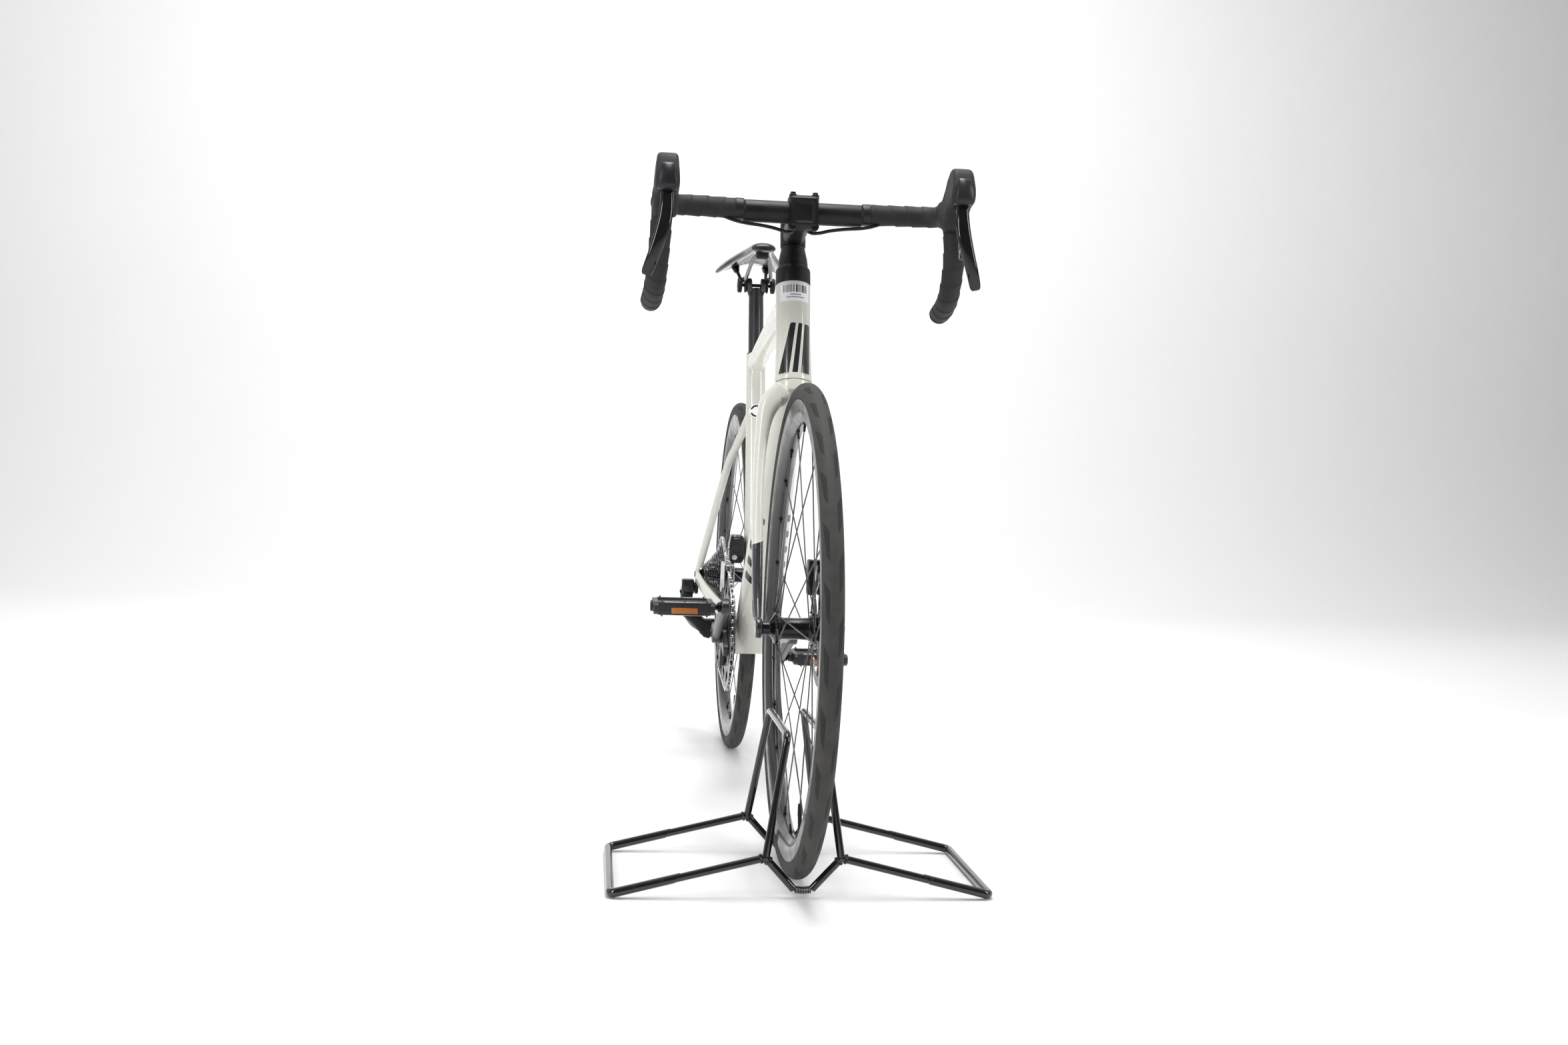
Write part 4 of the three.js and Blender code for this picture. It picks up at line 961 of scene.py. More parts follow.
def coil_spring(node):
    """A close-wound extension spring with a slight droop and a hook at each end."""
    centre = middle(node)
    half, wire, turns = box(node)[1].x - 0.6, 0.85, 10
    line = []
    for i in range(turns * 16 + 1):
        turn = TAU * i / 16
        x = -half + wire + (2 * half - 2 * wire) * i / (turns * 16)
        droop = -1.1 * (1 - (x / half) ** 2)
        line.append(centre + Vector((x, 4.4 * math.cos(turn), 4.4 * math.sin(turn) + droop)))
    whole = tube(line, wire, 10, 0.2)
    for side in (-1, 1):
        inner, outer = Vector((side * (half - 2), 0, -3.4)), Vector((side * (half + 0.4), 0, 0.5))
        whole += tube([centre + inner, centre + outer], wire, 10)
    return whole


def build_stand():
    for name, side in SIDES:
        half, foot = f"stand_{name}_half", f"stand_{name}_foot_bar"
        piece(f"{name}_stand_frame", stand_half(side), half, M["enamel"], half)
        piece(f"{name}_stand_foot", foot_bar(side), "stand_feet", M["enamel"], foot)
    for end in ("front", "rear"):
        node = f"stand_{end}_spring"
        piece(f"{end}_stand_coil", coil_spring(node), "stand_springs", M["enamel"], node)


# ---------------------------------------------------------------- wheels
TYRE_SECTION = 14.0
RIM_OUTER, RIM_INNER, RIM_HALF_WIDTH = 316.0, 284.0, 12.4
SPOKES = 24
WHEELS = {
    "front": {"axle": FRONT_AXLE, "flanges": ((-30, 22), (20, 22)), "rotor": 30.0},
    "rear": {"axle": REAR_AXLE, "flanges": ((-22, 24), (33, 22)), "rotor": 52.0},
}


def round_axle(axle, radius, turn, x):
    return Vector((x, *at_turn(axle.y, axle.z, radius, turn)))


def tyre(axle):
    """The casing, with a raised line where it leaves the rim."""
    centre = WHEEL_RADIUS - TYRE_SECTION
    opening = math.acos((RIM_OUTER + 0.6 - centre) / TYRE_SECTION)
    steps = 40
    section = []
    for i in range(steps + 1):
        turn = -opening + 2 * opening * i / steps
        swell = 0.35 * math.exp(-(((abs(turn) - opening + 0.22) / 0.05) ** 2))
        section.append(at_turn(centre, 0, TYRE_SECTION + swell, turn))
    section.append((RIM_OUTER - 4, section[-1][1] - 2.5))
    section.insert(0, (RIM_OUTER - 4, section[0][1] + 2.5))
    return lathe(section, (0, axle.y, axle.z), (1, 0, 0), 224, True)


def rim(axle):
    w = RIM_HALF_WIDTH
    section = [
        (RIM_OUTER, -w),
        (RIM_OUTER + 0.6, -w + 1.2),
        (RIM_OUTER - 6, -w + 3),
        (RIM_OUTER - 6, w - 3),
        (RIM_OUTER + 0.6, w - 1.2),
        (RIM_OUTER, w),
        (RIM_OUTER - 18, w + 0.3),
        (RIM_INNER + 5, 7.5),
        (RIM_INNER, 2.5),
        (RIM_INNER, -2.5),
        (RIM_INNER + 5, -7.5),
        (RIM_OUTER - 18, -w - 0.3),
    ]
    return wheel_ring(section, axle, 7, 224)


def spoke_ends(wheel):
    """Each spoke's end at the hub, its end at the rim, and whether it leads or trails."""
    axle = wheel["axle"]
    crossing = math.radians(62)
    per_flange = SPOKES // 2
    for f, (x, radius) in enumerate(wheel["flanges"]):
        for i in range(per_flange):
            rim_turn = TAU * (i + f / 2) / per_flange
            odd = i % 2
            hub_turn = rim_turn + (crossing if odd else -crossing)
            start = round_axle(axle, radius + 1.2, hub_turn, x + (1.5 if odd else -1.5))
            end = round_axle(axle, RIM_INNER - 1, rim_turn, 0)
            yield start, end, odd


def spokes(wheel):
    whole = Shape()
    for start, end, odd in spoke_ends(wheel):
        shaft = rod(start, start.lerp(end, 0.965), 0.95, 8, 0.1)
        way = Vector((1 if odd else -1, 0, 0))
        whole += shaft + rod(start + way * 2.0, start - way * 2.2, 1.15, 8)
    return whole


def nipples(wheel):
    whole = Shape()
    for start, end, _ in spoke_ends(wheel):
        inward = (start - end).normalized()
        whole += rod(end - inward * 2.5, end + inward * 11, 2.1, 8, 0.3, end_radius=1.7)
        whole += rod(end - inward * 2.5, end + inward * 1.2, 3.0, 12, 0.4)
    return whole


def valve(axle):
    turn = math.radians(250)
    outward = Vector((0, math.cos(turn), math.sin(turn)))
    foot = round_axle(axle, RIM_INNER + 3, turn, 0)
    tip = foot - outward * 46
    shape = rod(foot, foot - outward * 9, 4.2, 20, 0.5) + rod(foot, foot - outward * 38, 2.9, 16, 0.3)
    return shape + rod(tip, foot - outward * 30, 2.3, 16, 0.9, end_radius=3.3)


def front_hub(wheel):
    section = [
        (6.4, -50), (9.5, -50), (9.5, -40), (12, -38), (15, -36), (20, -33.5), (22, -32), (22, -28),
        (18, -26), (15.2, -22), (14.8, 0), (15.6, 14), (19.5, 17.5), (22, 18.5), (22, 21.5), (18.5, 24),
        (16.6, 25), (16.6, 29), (14, 32.5), (12, 34), (9.5, 36), (9.5, 50), (6.4, 50),
    ]
    return turned_across(section, 0.8, wheel["axle"], 64, True) + hub_details(wheel)


def rear_hub(wheel):
    section = [
        (6.4, -71), (9.8, -71), (9.8, -67), (16.4, -66), (16.4, -25.5), (22, -24.4), (24, -23.4), (24, -20.6),
        (19, -17), (15.4, -13), (14.4, 8), (14.6, 26), (19, 30.5), (22, 31.5), (22, 34.5), (18, 38),
        (16.6, 40), (16.6, 51), (14, 54.5), (10, 56), (9.8, 71), (6.4, 71),
    ]
    return turned_across(section, 0.8, wheel["axle"], 64, True) + hub_details(wheel)


def hub_details(wheel):
    """Spoke eyes on each flange, and the splined ring that locks the rotor."""
    axle = wheel["axle"]
    whole = Shape()
    for x, radius in wheel["flanges"]:
        for i in range(SPOKES // 2):
            turn = TAU * (i + 0.5) / (SPOKES // 2) + math.radians(8)
            eye = round_axle(axle, radius - 3.4, turn, 0)
            ring = [(1.3, x - 2.3), (2.3, x - 2.3), (2.3, x + 2.3), (1.3, x + 2.3)]
            whole += lathe(ring, (0, eye.y, eye.z), (1, 0, 0), 12, True)
    outer = []
    teeth = 16
    for i in range(teeth * 4):
        radius = 20.2 if i % 4 in (0, 1) else 18.6
        outer.append(at_turn(axle.y, axle.z, radius, TAU * i / (teeth * 4)))
    bore = circle(13.5, 40, axle.y, axle.z)
    x = wheel["rotor"] + 1.2
    return whole + plate(outer, x, x + 3.0, [bore], 0.4)


def rotor_disc(wheel):
    """The braking ring: a wavy outer edge, slanted slots, and a waist that the arms hold."""
    axle = wheel["axle"]
    outer, inner = [], []
    steps = 180
    for i in range(steps):
        turn = TAU * i / steps
        wave = math.cos(12 * turn)
        outer.append(at_turn(axle.y, axle.z, 79.6 + 0.4 * wave, turn))
        inner.append(at_turn(axle.y, axle.z, 64.5 - 1.6 * wave, turn))
    slots = []
    for i in range(36):
        base = TAU * i / 36
        low, high, lean = 67.5, 77.0, 0.035 if i % 3 else 0.075
        half = 0.014
        tip = base + lean
        corners = [(low, base - half), (low, base + half), (high, tip + half), (high, tip - half)]
        loop = [at_turn(axle.y, axle.z, r, t) for r, t in corners]
        slots.append(rounded(loop, 1.1, 2))
    x = wheel["rotor"]
    return plate(outer, x - 0.9, x + 0.9, [inner] + slots, 0.15)


def rotor_spider(wheel):
    """Six slanted arms from the splined centre out to the braking ring."""
    axle = wheel["axle"]
    arms = 6
    arm = (
        (26, 0.10), (40, 0.20), (58, 0.42), (66.5, 0.50),
        (66.5, 0.62), (57, 0.60), (40, 0.42), (26, 0.60),
    )
    outline = []
    for k in range(arms):
        outline += [at_turn(axle.y, axle.z, radius, TAU * k / arms + turn) for radius, turn in arm]
    x = wheel["rotor"]
    return plate(rounded(outline, 3, 3), x - 1.5, x + 1.5, [circle(17.5, 40, axle.y, axle.z)], 0.4)


def axle_bar(axle, x0, x1):
    return rod((x0, axle.y, axle.z), (x1, axle.y, axle.z), 5.9, 24)


def end_cap(x, axle, reach):
    outward = 1 if reach > 0 else -1
    section = [(0, 0), (9, 0), (9, abs(reach)), (4.2, abs(reach)), (4.2, abs(reach) - 3), (0, abs(reach) - 3)]
    return turned(section, 0.6, (x, axle.y, axle.z), (outward, 0, 0), 32)


def build_wheels():
    for name, wheel in WHEELS.items():
        body, axle = f"{name}_wheel", wheel["axle"]
        node = f"{name}_tyre"
        piece(f"{node}_casing", tyre(axle), body, M[node], node, sharp=50)
        piece(f"{name}_aero_rim", rim(axle), body, M["rim"], f"{name}_rim", sharp=50)
        piece(f"{name}_spoke_set", spokes(wheel), body, M["spoke"], f"{name}_spokes")
        piece(f"{name}_nipple_set", nipples(wheel), body, M["nipple"])
        piece(f"{name}_valve", valve(axle), body, M["nipple"])
        hub = front_hub(wheel) if name == "front" else rear_hub(wheel)
        piece(f"{name}_hub_shell", hub, body, M["hub"], f"{name}_hub")
        piece(f"{name}_brake_disc", rotor_disc(wheel), body, M["rotor"], f"{name}_rotor")
        piece(f"{name}_disc_spider", rotor_spider(wheel), body, M["hub"])
    front = axle_bar(FRONT_AXLE, box("front_thru_axle")[0].x, 61) + end_cap(60, FRONT_AXLE, 4.5)
    piece("front_axle_bar", front, "steering", M["axle"], "front_thru_axle")
    rear = axle_bar(REAR_AXLE, -80.5, 81) + end_cap(79.6, REAR_AXLE, 4.4)
    piece("rear_axle_bar", rear, "main_frame", M["axle"], "rear_thru_axle")


# ---------------------------------------------------------------- frame and fork
DROPOUT_FRONT, DROPOUT_REAR = 50.2, 71.4
SEAT_STICKER, SEAT_PORT = 398, 293
CROWN = -HEAD_LENGTH - 0.6


def frame_tubes():
    head = turned(
        [(0, -HEAD_LENGTH), (27.5, -HEAD_LENGTH), (25.4, -HEAD_LENGTH * 0.55), (26, -18), (26, 0), (0, 0)],
        1.0,
        HEAD_TOP,
        STEERING,
        64,
    )
    down = loft(
        [
            [0, -334, 726, 46, 50],
            [0, -270, 653, 47, 47],
            [0, -130, 495, 60, 48],
            [0, -10, 359, 70, 50],
            [0, 52, 288, 72, 57],
            [0, 84, 256, 72, 56],
        ],
        48,
    )
    top = loft(
        [
            [0, -306, 800, 44, 46],
            [0, -240, 797, 42, 42],
            [0, -80, 783, 37, 33],
            [0, 90, 762, 33, 28],
            [0, 224, 741, 31, 28],
        ],
        40,
    )
    seat = loft(
        [
            [*on_seat_tube(0), 46, 44],
            [*on_seat_tube(90), 37, 40],
            [*on_seat_tube(255), 35.5, 37],
            [*on_seat_tube(510), 34.5, 36],
        ],
        40,
    )
    shell = turned_across([(0, -38), (36, -38), (36, 38), (0, 38)], 1.2, BB, 64)
    return head + down + top + seat + shell


def stays(side):
    chain_stay = loft(
        [
            [side * 22, 92, 264, 22, 44],
            [side * 29.5, 165, 276, 14, 34],
            [side * 45, 260, 292, 16, 28],
            [side * 66, 400, 318, 15, 22],
            [side * 75.4, 486, 335, 8, 28],
        ],
        32,
    )
    seat_stay = loft(
        [
            [side * 7, 199, 652, 16, 20],
            [side * 13, 216, 636, 16, 18],
            [side * 28, 262, 590, 14, 16],
            [side * 41, 306, 544, 14, 17],
            [side * 68, 465, 378, 14, 17],
            [side * 75.4, 492, 345, 8, 22],
        ],
        32,
    )
    x0 = DROPOUT_REAR if side > 0 else -DROPOUT_REAR - 8
    end = plate(circle(16, 40, REAR_AXLE.y, REAR_AXLE.z), x0, x0 + 8, [], 0.8)
    return chain_stay + seat_stay + end


def hanger():
    outline = rounded([(486, 338), (505, 342), (517, 312), (508, 298), (493, 305)], 5, 4)
    bore = circle(3.2, 20, 506, 312)
    return plate(outline, -DROPOUT_REAR - 7, -DROPOUT_REAR - 0.8, [bore], 0.6)


def fork_leg(side):
    return loft(
        [
            [side * 16, -350, 672, 34, 46],
            [side * 36, -354, 650, 30, 44],
            [side * 45, -363, 612, 20, 38],
            [side * 50.5, -381, 540, 15, 33],
            [side * 51.6, -409, 453, 16, 29],
            [side * 53.6, -452, 378, 14, 26],
            [side * 55.2, -486, 340, 9.6, 26],
        ],
        40,
        fullness=2.8,
        domed=2.0,
    )


def keep_wheel_room(mesh):
    """Opens the arch under the crown so that the tyre has its clearance."""
    room, half = WHEEL_RADIUS + 5.5, 19.5
    for vertex in mesh.vertices:
        p = vertex.co / MM
        out = Vector((0, p.y - FRONT_AXLE.y, p.z - FRONT_AXLE.z))
        if abs(p.x) < half and out.length < room:
            vertex.co = (p + out.normalized() * (room - out.length)) * MM


def fork_shape():
    crown = turned([(0, -17), (27, -17), (27.5, 0), (0, 0)], 1.0, on_steering(CROWN), STEERING, 64)
    ends = Shape()
    for _, side in SIDES:
        x0 = DROPOUT_FRONT if side > 0 else -DROPOUT_FRONT - 9.8
        ends += plate(circle(14.5, 40, FRONT_AXLE.y, FRONT_AXLE.z), x0, x0 + 9.8, [], 1.5)
    return crown + fork_leg(1) + fork_leg(-1) + ends


def bolt_boss(centre, direction):
    """A bottle-cage boss: a washer ring with a screw in it."""
    radius = 5.2
    direction = Vector(direction).normalized()
    start = Vector(centre) - direction * 1.5
    washer = turned([(0, 0), (radius, 0), (radius, 2.4), (0, 2.4)], 0.5, start, direction, 28)
    return washer + socket_screw(start + direction * 2.2, direction, 4.0, 2.2, 1.7)


def surface_patch(surface, outline, origin, across, up, facing, lift=0.16, grid=1.6):
    """A thin flat mark laid on a surface: its outline is drawn in the plane of across and up."""
    across, up, facing = Vector(across).normalized(), Vector(up).normalized(), Vector(facing).normalized()
    work = bmesh.new()
    flat = [Vector((p[0], p[1], 0)) for p in outline]
    corners = [work.verts.new(p) for p in flat]
    work.faces.new(corners)
    xs, ys = [p.x for p in flat], [p.y for p in flat]
    for low, high, normal in ((min(xs), max(xs), (1, 0, 0)), (min(ys), max(ys), (0, 1, 0))):
        step = low + grid
        while step < high:
            whole = work.verts[:] + work.edges[:] + work.faces[:]
            cut = Vector(normal) * step
            bmesh.ops.bisect_plane(work, geom=whole, plane_co=cut, plane_no=normal, dist=1e-5)
            step += grid
    bmesh.ops.triangulate(work, faces=work.faces)
    work.verts.index_update()
    laid, found = [], True
    for vertex in work.verts:
        spot = Vector(origin) + across * vertex.co.x + up * vertex.co.y
        hit, normal, _, _ = surface.ray_cast((spot + facing * 80) * MM, -facing, 0.3)
        if hit is None:
            found = False
            laid.append(spot)
            continue
        laid.append(hit / MM + normal * lift)
    faces = [tuple(v.index for v in f.verts) for f in work.faces]
    work.free()
    return Shape(laid, faces) if found else Shape()


def mark(name, shape, paint):
    """A mark on the frame: it is flat, so its rim is turned down into the surface."""
    mesh = mesh_of(name, shape)
    work = bmesh.new()
    work.from_mesh(mesh)
    rims = [e for e in work.edges if len(e.link_faces) == 1]
    work.normal_update()
    lowered = {v: v.co - v.normal * 0.35 * MM for v in {v for e in rims for v in e.verts}}
    made = bmesh.ops.extrude_edge_only(work, edges=rims)
    for vertex in [g for g in made["geom"] if isinstance(g, bmesh.types.BMVert)]:
        nearest = min(lowered, key=lambda v: (v.co - vertex.co).length_squared)
        vertex.co = lowered[nearest]
    work.to_mesh(mesh)
    work.free()
    piece(name, mesh, "main_frame", M[paint], sharp=60)


def surface_of(mesh):
    work = bmesh.new()
    work.from_mesh(mesh)
    tree = BVHTree.FromBMesh(work)
    work.free()
    return tree


def facing_front(axis):
    """The way a tube along that axis faces at its front."""
    facing = axis.cross(Vector((1, 0, 0)))
    return facing if facing.y < 0 else -facing


def head_marks(surface):
    """Three plain slanted bands down the front of the head tube."""
    whole = Shape()
    low, high = -146, -66
    for foot, top in (((-24, -10), (-7, 1)), ((-5, 3), (5, 11)), ((8, 21), (14.5, 22))):
        band = [(foot[0], low), (foot[1], low), (top[1], high), (top[0], high)]
        band = rounded([(x, s - (low + high) / 2) for x, s in band], 2.0, 2)
        origin = on_steering((low + high) / 2)
        whole += surface_patch(surface, band, origin, (1, 0, 0), STEERING, facing_front(STEERING))
    return whole


def down_tube_marks(surface, side):
    """A row of plain slanted bars along the down tube's lower side."""
    start, end = Vector((0, -126, 490)), Vector((0, -34, 386))
    along = (end - start).normalized()
    under = along.cross(Vector((1, 0, 0)))
    under = under if under.z < 0 else -under
    facing = (Vector((side, 0, 0)) * 0.80 + under * 0.60).normalized()
    across = facing.cross(along)
    count = 5
    whole = Shape()
    for i in range(count):
        origin = start.lerp(end, i / (count - 1))
        bar = rounded([(-13, -10), (3, -10), (13, 10), (0, 10)], 3, 3)
        whole += surface_patch(surface, bar, origin, along, across, facing)
    return whole


def round_label(surface):
    """A plain round sticker with two grey arcs, on the seat tube's front."""
    place, facing = on_seat_tube(SEAT_STICKER), facing_front(SEAT_AXIS)
    right = (1, 0, 0)
    disc = surface_patch(surface, circle(13, 48), place, right, SEAT_AXIS, facing, 0.12)
    band = Shape()
    for start, reach in ((0.35, 2.44), (math.pi + 0.35, 2.44)):
        turns = [start + reach * t / 12 for t in range(13)]
        arc = [at_turn(0, 0, 11.2, t) for t in turns]
        arc += [at_turn(0, 0, 8.2, t) for t in reversed(turns)]
        band += surface_patch(surface, arc, place, right, SEAT_AXIS, facing, 0.3, 1.2)
    return disc, band


def bracket_label(surface):
    """A small sticker on the down tube just above the bracket: white over dark grey."""
    place = Vector((-9, -28, 384))
    right = Vector((1, 0, 0))
    up = Vector((0, -0.66, 0.75))
    facing = Vector((-0.15, -0.76, -0.62)).normalized()
    across = (right - facing * right.dot(facing)).normalized()
    up = (up - facing * up.dot(facing)).normalized()
    white = rounded([(-6, 1), (6, 1), (6, 17), (-6, 17)], 0.8, 2)
    dark = rounded([(-6, -17), (6, -17), (6, 0), (-6, 0)], 0.8, 2)
    return [surface_patch(surface, part, place, across, up, facing, 0.15) for part in (white, dark)]


def stock_label(surface):
    """A white label with plain upright bars and two rows of dashes, under the headset's cover."""
    place, facing = on_steering(-17), facing_front(STEERING)
    right = (1, 0, 0)
    sheet_outline = rounded([(-20.5, -14.5), (20.5, -14.5), (20.5, 14), (-20.5, 14)], 1.5, 2)
    paper = surface_patch(surface, sheet_outline, place, right, STEERING, facing, 0.15)
    chance = random.Random(4)
    bars = Shape()
    x = -17.0
    while x < 16.5:
        width = chance.choice((0.8, 1.2, 2.2))
        bar = [(x, -1), (x + width, -1), (x + width, 11), (x, 11)]
        bars += surface_patch(surface, bar, place, right, STEERING, facing, 0.3, 4)
        x += width + chance.choice((0.9, 1.3, 1.8))
    for row, first, last in ((-5.4, -7, 7), (-9.6, -12, 12)):
        x = first
        while x < last:
            dash = [(x, row), (x + 1.5, row), (x + 1.5, row + 1.5), (x, row + 1.5)]
            bars += surface_patch(surface, dash, place, right, STEERING, facing, 0.3, 4)
            x += 2.3
    return paper, bars


def build_frame():
    tubes = frame_tubes() + stays(1) + stays(-1)
    mesh = fused("frame_skin", tubes, voxel=1.9, rounds=11)
    clear_of_rear_hub(mesh)
    surface = surface_of(mesh)
    piece("head_tube_ends", head_tube_ends(), "main_frame", M["ivory"])
    piece("main_frame_skin", mesh, "main_frame", M["ivory"], "frame", sharp=60)
    piece("derailleur_hanger", hanger(), "main_frame", M["axle"])
    mark("head_bands", head_marks(surface), "charcoal")
    for name, side in SIDES:
        mark(f"{name}_tube_drops", down_tube_marks(surface, side), "charcoal")
    disc, band = round_label(surface)
    mark("round_sticker", disc, "label")
    mark("sticker_band", band, "spacer")
    paper, bars = stock_label(surface)
    mark("stock_label", paper, "label")
    mark("stock_label_bars", bars, "spacer")
    white, dark = bracket_label(surface)
    mark("bracket_label_top", white, "label")
    mark("bracket_label_foot", dark, "charcoal")
    piece("cage_bosses", cage_bosses(surface), "main_frame", M["axle"])
    piece("cable_ports", cable_ports(surface), "main_frame", M["cover"])
    piece("seat_clamp", seat_clamp(), "main_frame", M["axle"])
    for name in ("upper_headset_bearing", "lower_headset_bearing", "bottom_bracket"):
        node = frame["nodes"][name]
        node.data.materials.clear()
        node.data.materials.append(M["bearing"])
    piece("bottom_bracket_cups", bracket_cups(), "main_frame", M["axle"])


def head_tube_ends():
    """The faced ends of the head tube, where the headset seats."""
    lower = [(21, -HEAD_LENGTH), (27.5, -HEAD_LENGTH), (27.3, -HEAD_LENGTH + 9), (21, -HEAD_LENGTH + 9)]
    upper = [(21, -9), (26, -9), (26, 0), (21, 0)]
    return turned(lower, 0.5, HEAD_TOP, STEERING, 96, True) + turned(upper, 0.5, HEAD_TOP, STEERING, 96, True)


def clear_of_rear_hub(mesh):
    """Keeps the frame's ends outside the hub's end faces."""
    for vertex in mesh.vertices:
        p = vertex.co / MM
        out = Vector((0, p.y - REAR_AXLE.y, p.z - REAR_AXLE.z)).length
        if out < 24 and abs(p.x) < DROPOUT_REAR:
            vertex.co.x = math.copysign(DROPOUT_REAR, p.x) * MM


def skin_point(surface, spot, outward):
    """Where the skin lies under a spot, looking in from outside; None where it has no skin."""
    hit, _, _, _ = surface.ray_cast((spot + outward * 60) * MM, -outward, 0.2)
    return hit / MM if hit else None


def cage_bosses(surface):
    whole = Shape()
    down_start, down_end = Vector((0, -130, 495)), Vector((0, -10, 359))
    along = (down_end - down_start).normalized()
    outward = Vector((1, 0, 0)).cross(along)
    outward = outward if outward.z > 0 else -outward
    for share in (0.12, 0.47):
        hit = skin_point(surface, down_start.lerp(down_end, share), outward)
        if hit:
            whole += bolt_boss(hit, outward)
    forward = Vector((0, -SEAT_AXIS.z, SEAT_AXIS.y))
    for distance in (150, 214):
        hit = skin_point(surface, on_seat_tube(distance), forward)
        if hit:
            whole += bolt_boss(hit, forward)
    return whole


def cable_ports(surface):
    """A small dark eye in the seat tube's front."""
    forward = Vector((0, -SEAT_AXIS.z, SEAT_AXIS.y))
    whole = Shape()
    hit = skin_point(surface, on_seat_tube(SEAT_PORT), forward)
    if hit:
        whole += turned([(0, 0), (1.6, 0), (1.6, 1.1), (0, 1.1)], 0.3, hit - forward * 0.8, forward, 20)
    return whole


def seat_clamp():
    """The wedge that grips the post, flush in the top tube, with its bolt."""
    place = on_seat_tube(510)
    collar = turned([(14.2, -1.5), (16.6, -1.5), (16.6, 1.6), (14.2, 1.6)], 0.6, place, SEAT_AXIS, 48, True)
    bolt_place = Vector((0, place.y - 26, place.z - 14))
    return collar + socket_screw(bolt_place, (0, -0.12, 1), 3.6, 5.0, 1.7)


def bracket_cups():
    left = turned_across([(13, 36), (20.5, 36), (20.5, 40.8), (13, 40.8)], 0.7, BB, 48, True)
    right = turned_across([(15.8, -38.3), (20.5, -38.3), (20.5, -36), (15.8, -36)], 0.4, BB, 48, True)
    return left + right


def build_fork():
    mesh = fused("fork_skin", fork_shape(), voxel=1.3, rounds=7)
    keep_wheel_room(mesh)
    piece("fork_skin", mesh, "steering", M["fork"], "fork", sharp=60)
    steerer = rod(on_steering(CROWN - 5), on_steering(100), 14.3, 40)
    piece("steerer_tube", steerer, "steering", M["post"])


# ---------------------------------------------------------------- brake calipers
def caliper(node, x, above_rotor):
    """A two-piece ribbed caliper astride its rotor, bridged outside the rotor's edge."""
    low, high = box(node)
    gap = 2.6
    whole = Shape()
    for x0, x1 in ((low.x, x - gap), (x + gap, high.x)):
        whole += slab((x0, low.y, low.z), (x1, high.y, high.z), 2.6, 3)
        for k in range(3):
            z = low.z + (high.z - low.z) * (0.3 + 0.2 * k)
            whole += slab((x0 - 0.5, low.y + 4, z - 1.2), (x1 + 0.5, high.y - 4, z + 1.2), 0.6, 2)
    if above_rotor:
        near, far = (low.y + 3, high.z - 7), (high.y - 3, high.z - 0.5)
    else:
        near, far = (low.y + 2, low.z + 3), (low.y + 8.5, high.z - 3)
    return whole + slab((x - gap - 1, *near), (x + gap + 1, *far), 0.8, 2)


def caliper_details(node):
    """The pad pin and the cover over the outer piston."""
    low, high = box(node)
    centre = (low + high) / 2
    pin = rod((low.x - 0.6, centre.y, low.z + 5), (high.x + 0.6, centre.y, low.z + 5), 1.7, 16)
    cover = [(0, 0), (8.5, 0), (8.5, 1.2), (0, 1.2)]
    return pin + turned_across(cover, 0.4, centre, 36, x=high.x - 0.4)


def build_calipers():
    for name, body in (("front", "steering"), ("rear", "main_frame")):
        node, x = f"{name}_caliper", WHEELS[name]["rotor"]
        body_shape = caliper(node, x, above_rotor=name == "front")
        piece(f"{name}_caliper_body", body_shape, body, M["caliper"], node)
        piece(f"{name}_caliper_pin", caliper_details(node), body, M["rotor"])


# ---------------------------------------------------------------- cockpit
BAR_RADIUS, BAR_CLAMP_RADIUS, BAR_CLAMP_REACH = 11.9, 15.9, 84.0
TAPE_START, TAPE_PITCH = 94.0, 24.0
TAPE_RADIUS, BAND_RADIUS = 13.4, 15.6
HOOD_X, HOOD_HALF_WIDTH = 201.0, 16.6
LEVER_TOP = Vector((0, -529, 921))
BAR_BEND = [
    (40, 0, 0), (90, 0, 2), (150, -2, 3), (184, -12, 2), (200, -36, 0), (203, -62, -6), (205, -78, -34),
    (207, -72, -74), (209, -42, -110), (211, -2, -126), (212, 36, -132),
]


def bar_line(side, steps=14):
    return [BAR_CENTRE + Vector((side * p.x, p.y, p.z)) for p in catmull(BAR_BEND, steps)]


def headset_cover():
    section = [
        (14.7, 0.4), (25.6, 0.4), (26, 0.9), (26, 22.5), (25.4, 25.6), (23, 27.4), (22.6, 28.2), (22.2, 28.4),
        (22, 35.4), (21.6, 35.9), (21.9, 36.4), (21.3, 43), (19.4, 52.4), (19.0, 52.9), (19.1, 53.4),
        (17.5, 62), (14.7, 62),
    ]
    return turned(section, 0.35, HEAD_TOP, STEERING, 72, True)


def stem_shape():
    foot = on_steering(82)
    clamp = turned([(0, 62.4), (19, 62.4), (19, 101.4), (0, 101.4)], 1.4, HEAD_TOP, STEERING, 56)
    arm = loft(
        [
            [0, foot.y + 6, foot.z - 2, 32, 34],
            [0, foot.y - 40, foot.z + 7, 33, 32],
            [0, BAR_CENTRE.y + 34, BAR_CENTRE.z - 4, 38, 36],
            [0, BAR_CENTRE.y + 15, BAR_CENTRE.z, 42, 42],
        ],
        40,
        fullness=3.2,
    )
    b = BAR_CENTRE
    jaw = slab((-21.4, b.y - 0.8, b.z - 23.8), (21.4, b.y + 16, b.z + 23.8), 3, 3)
    return clamp + arm + jaw


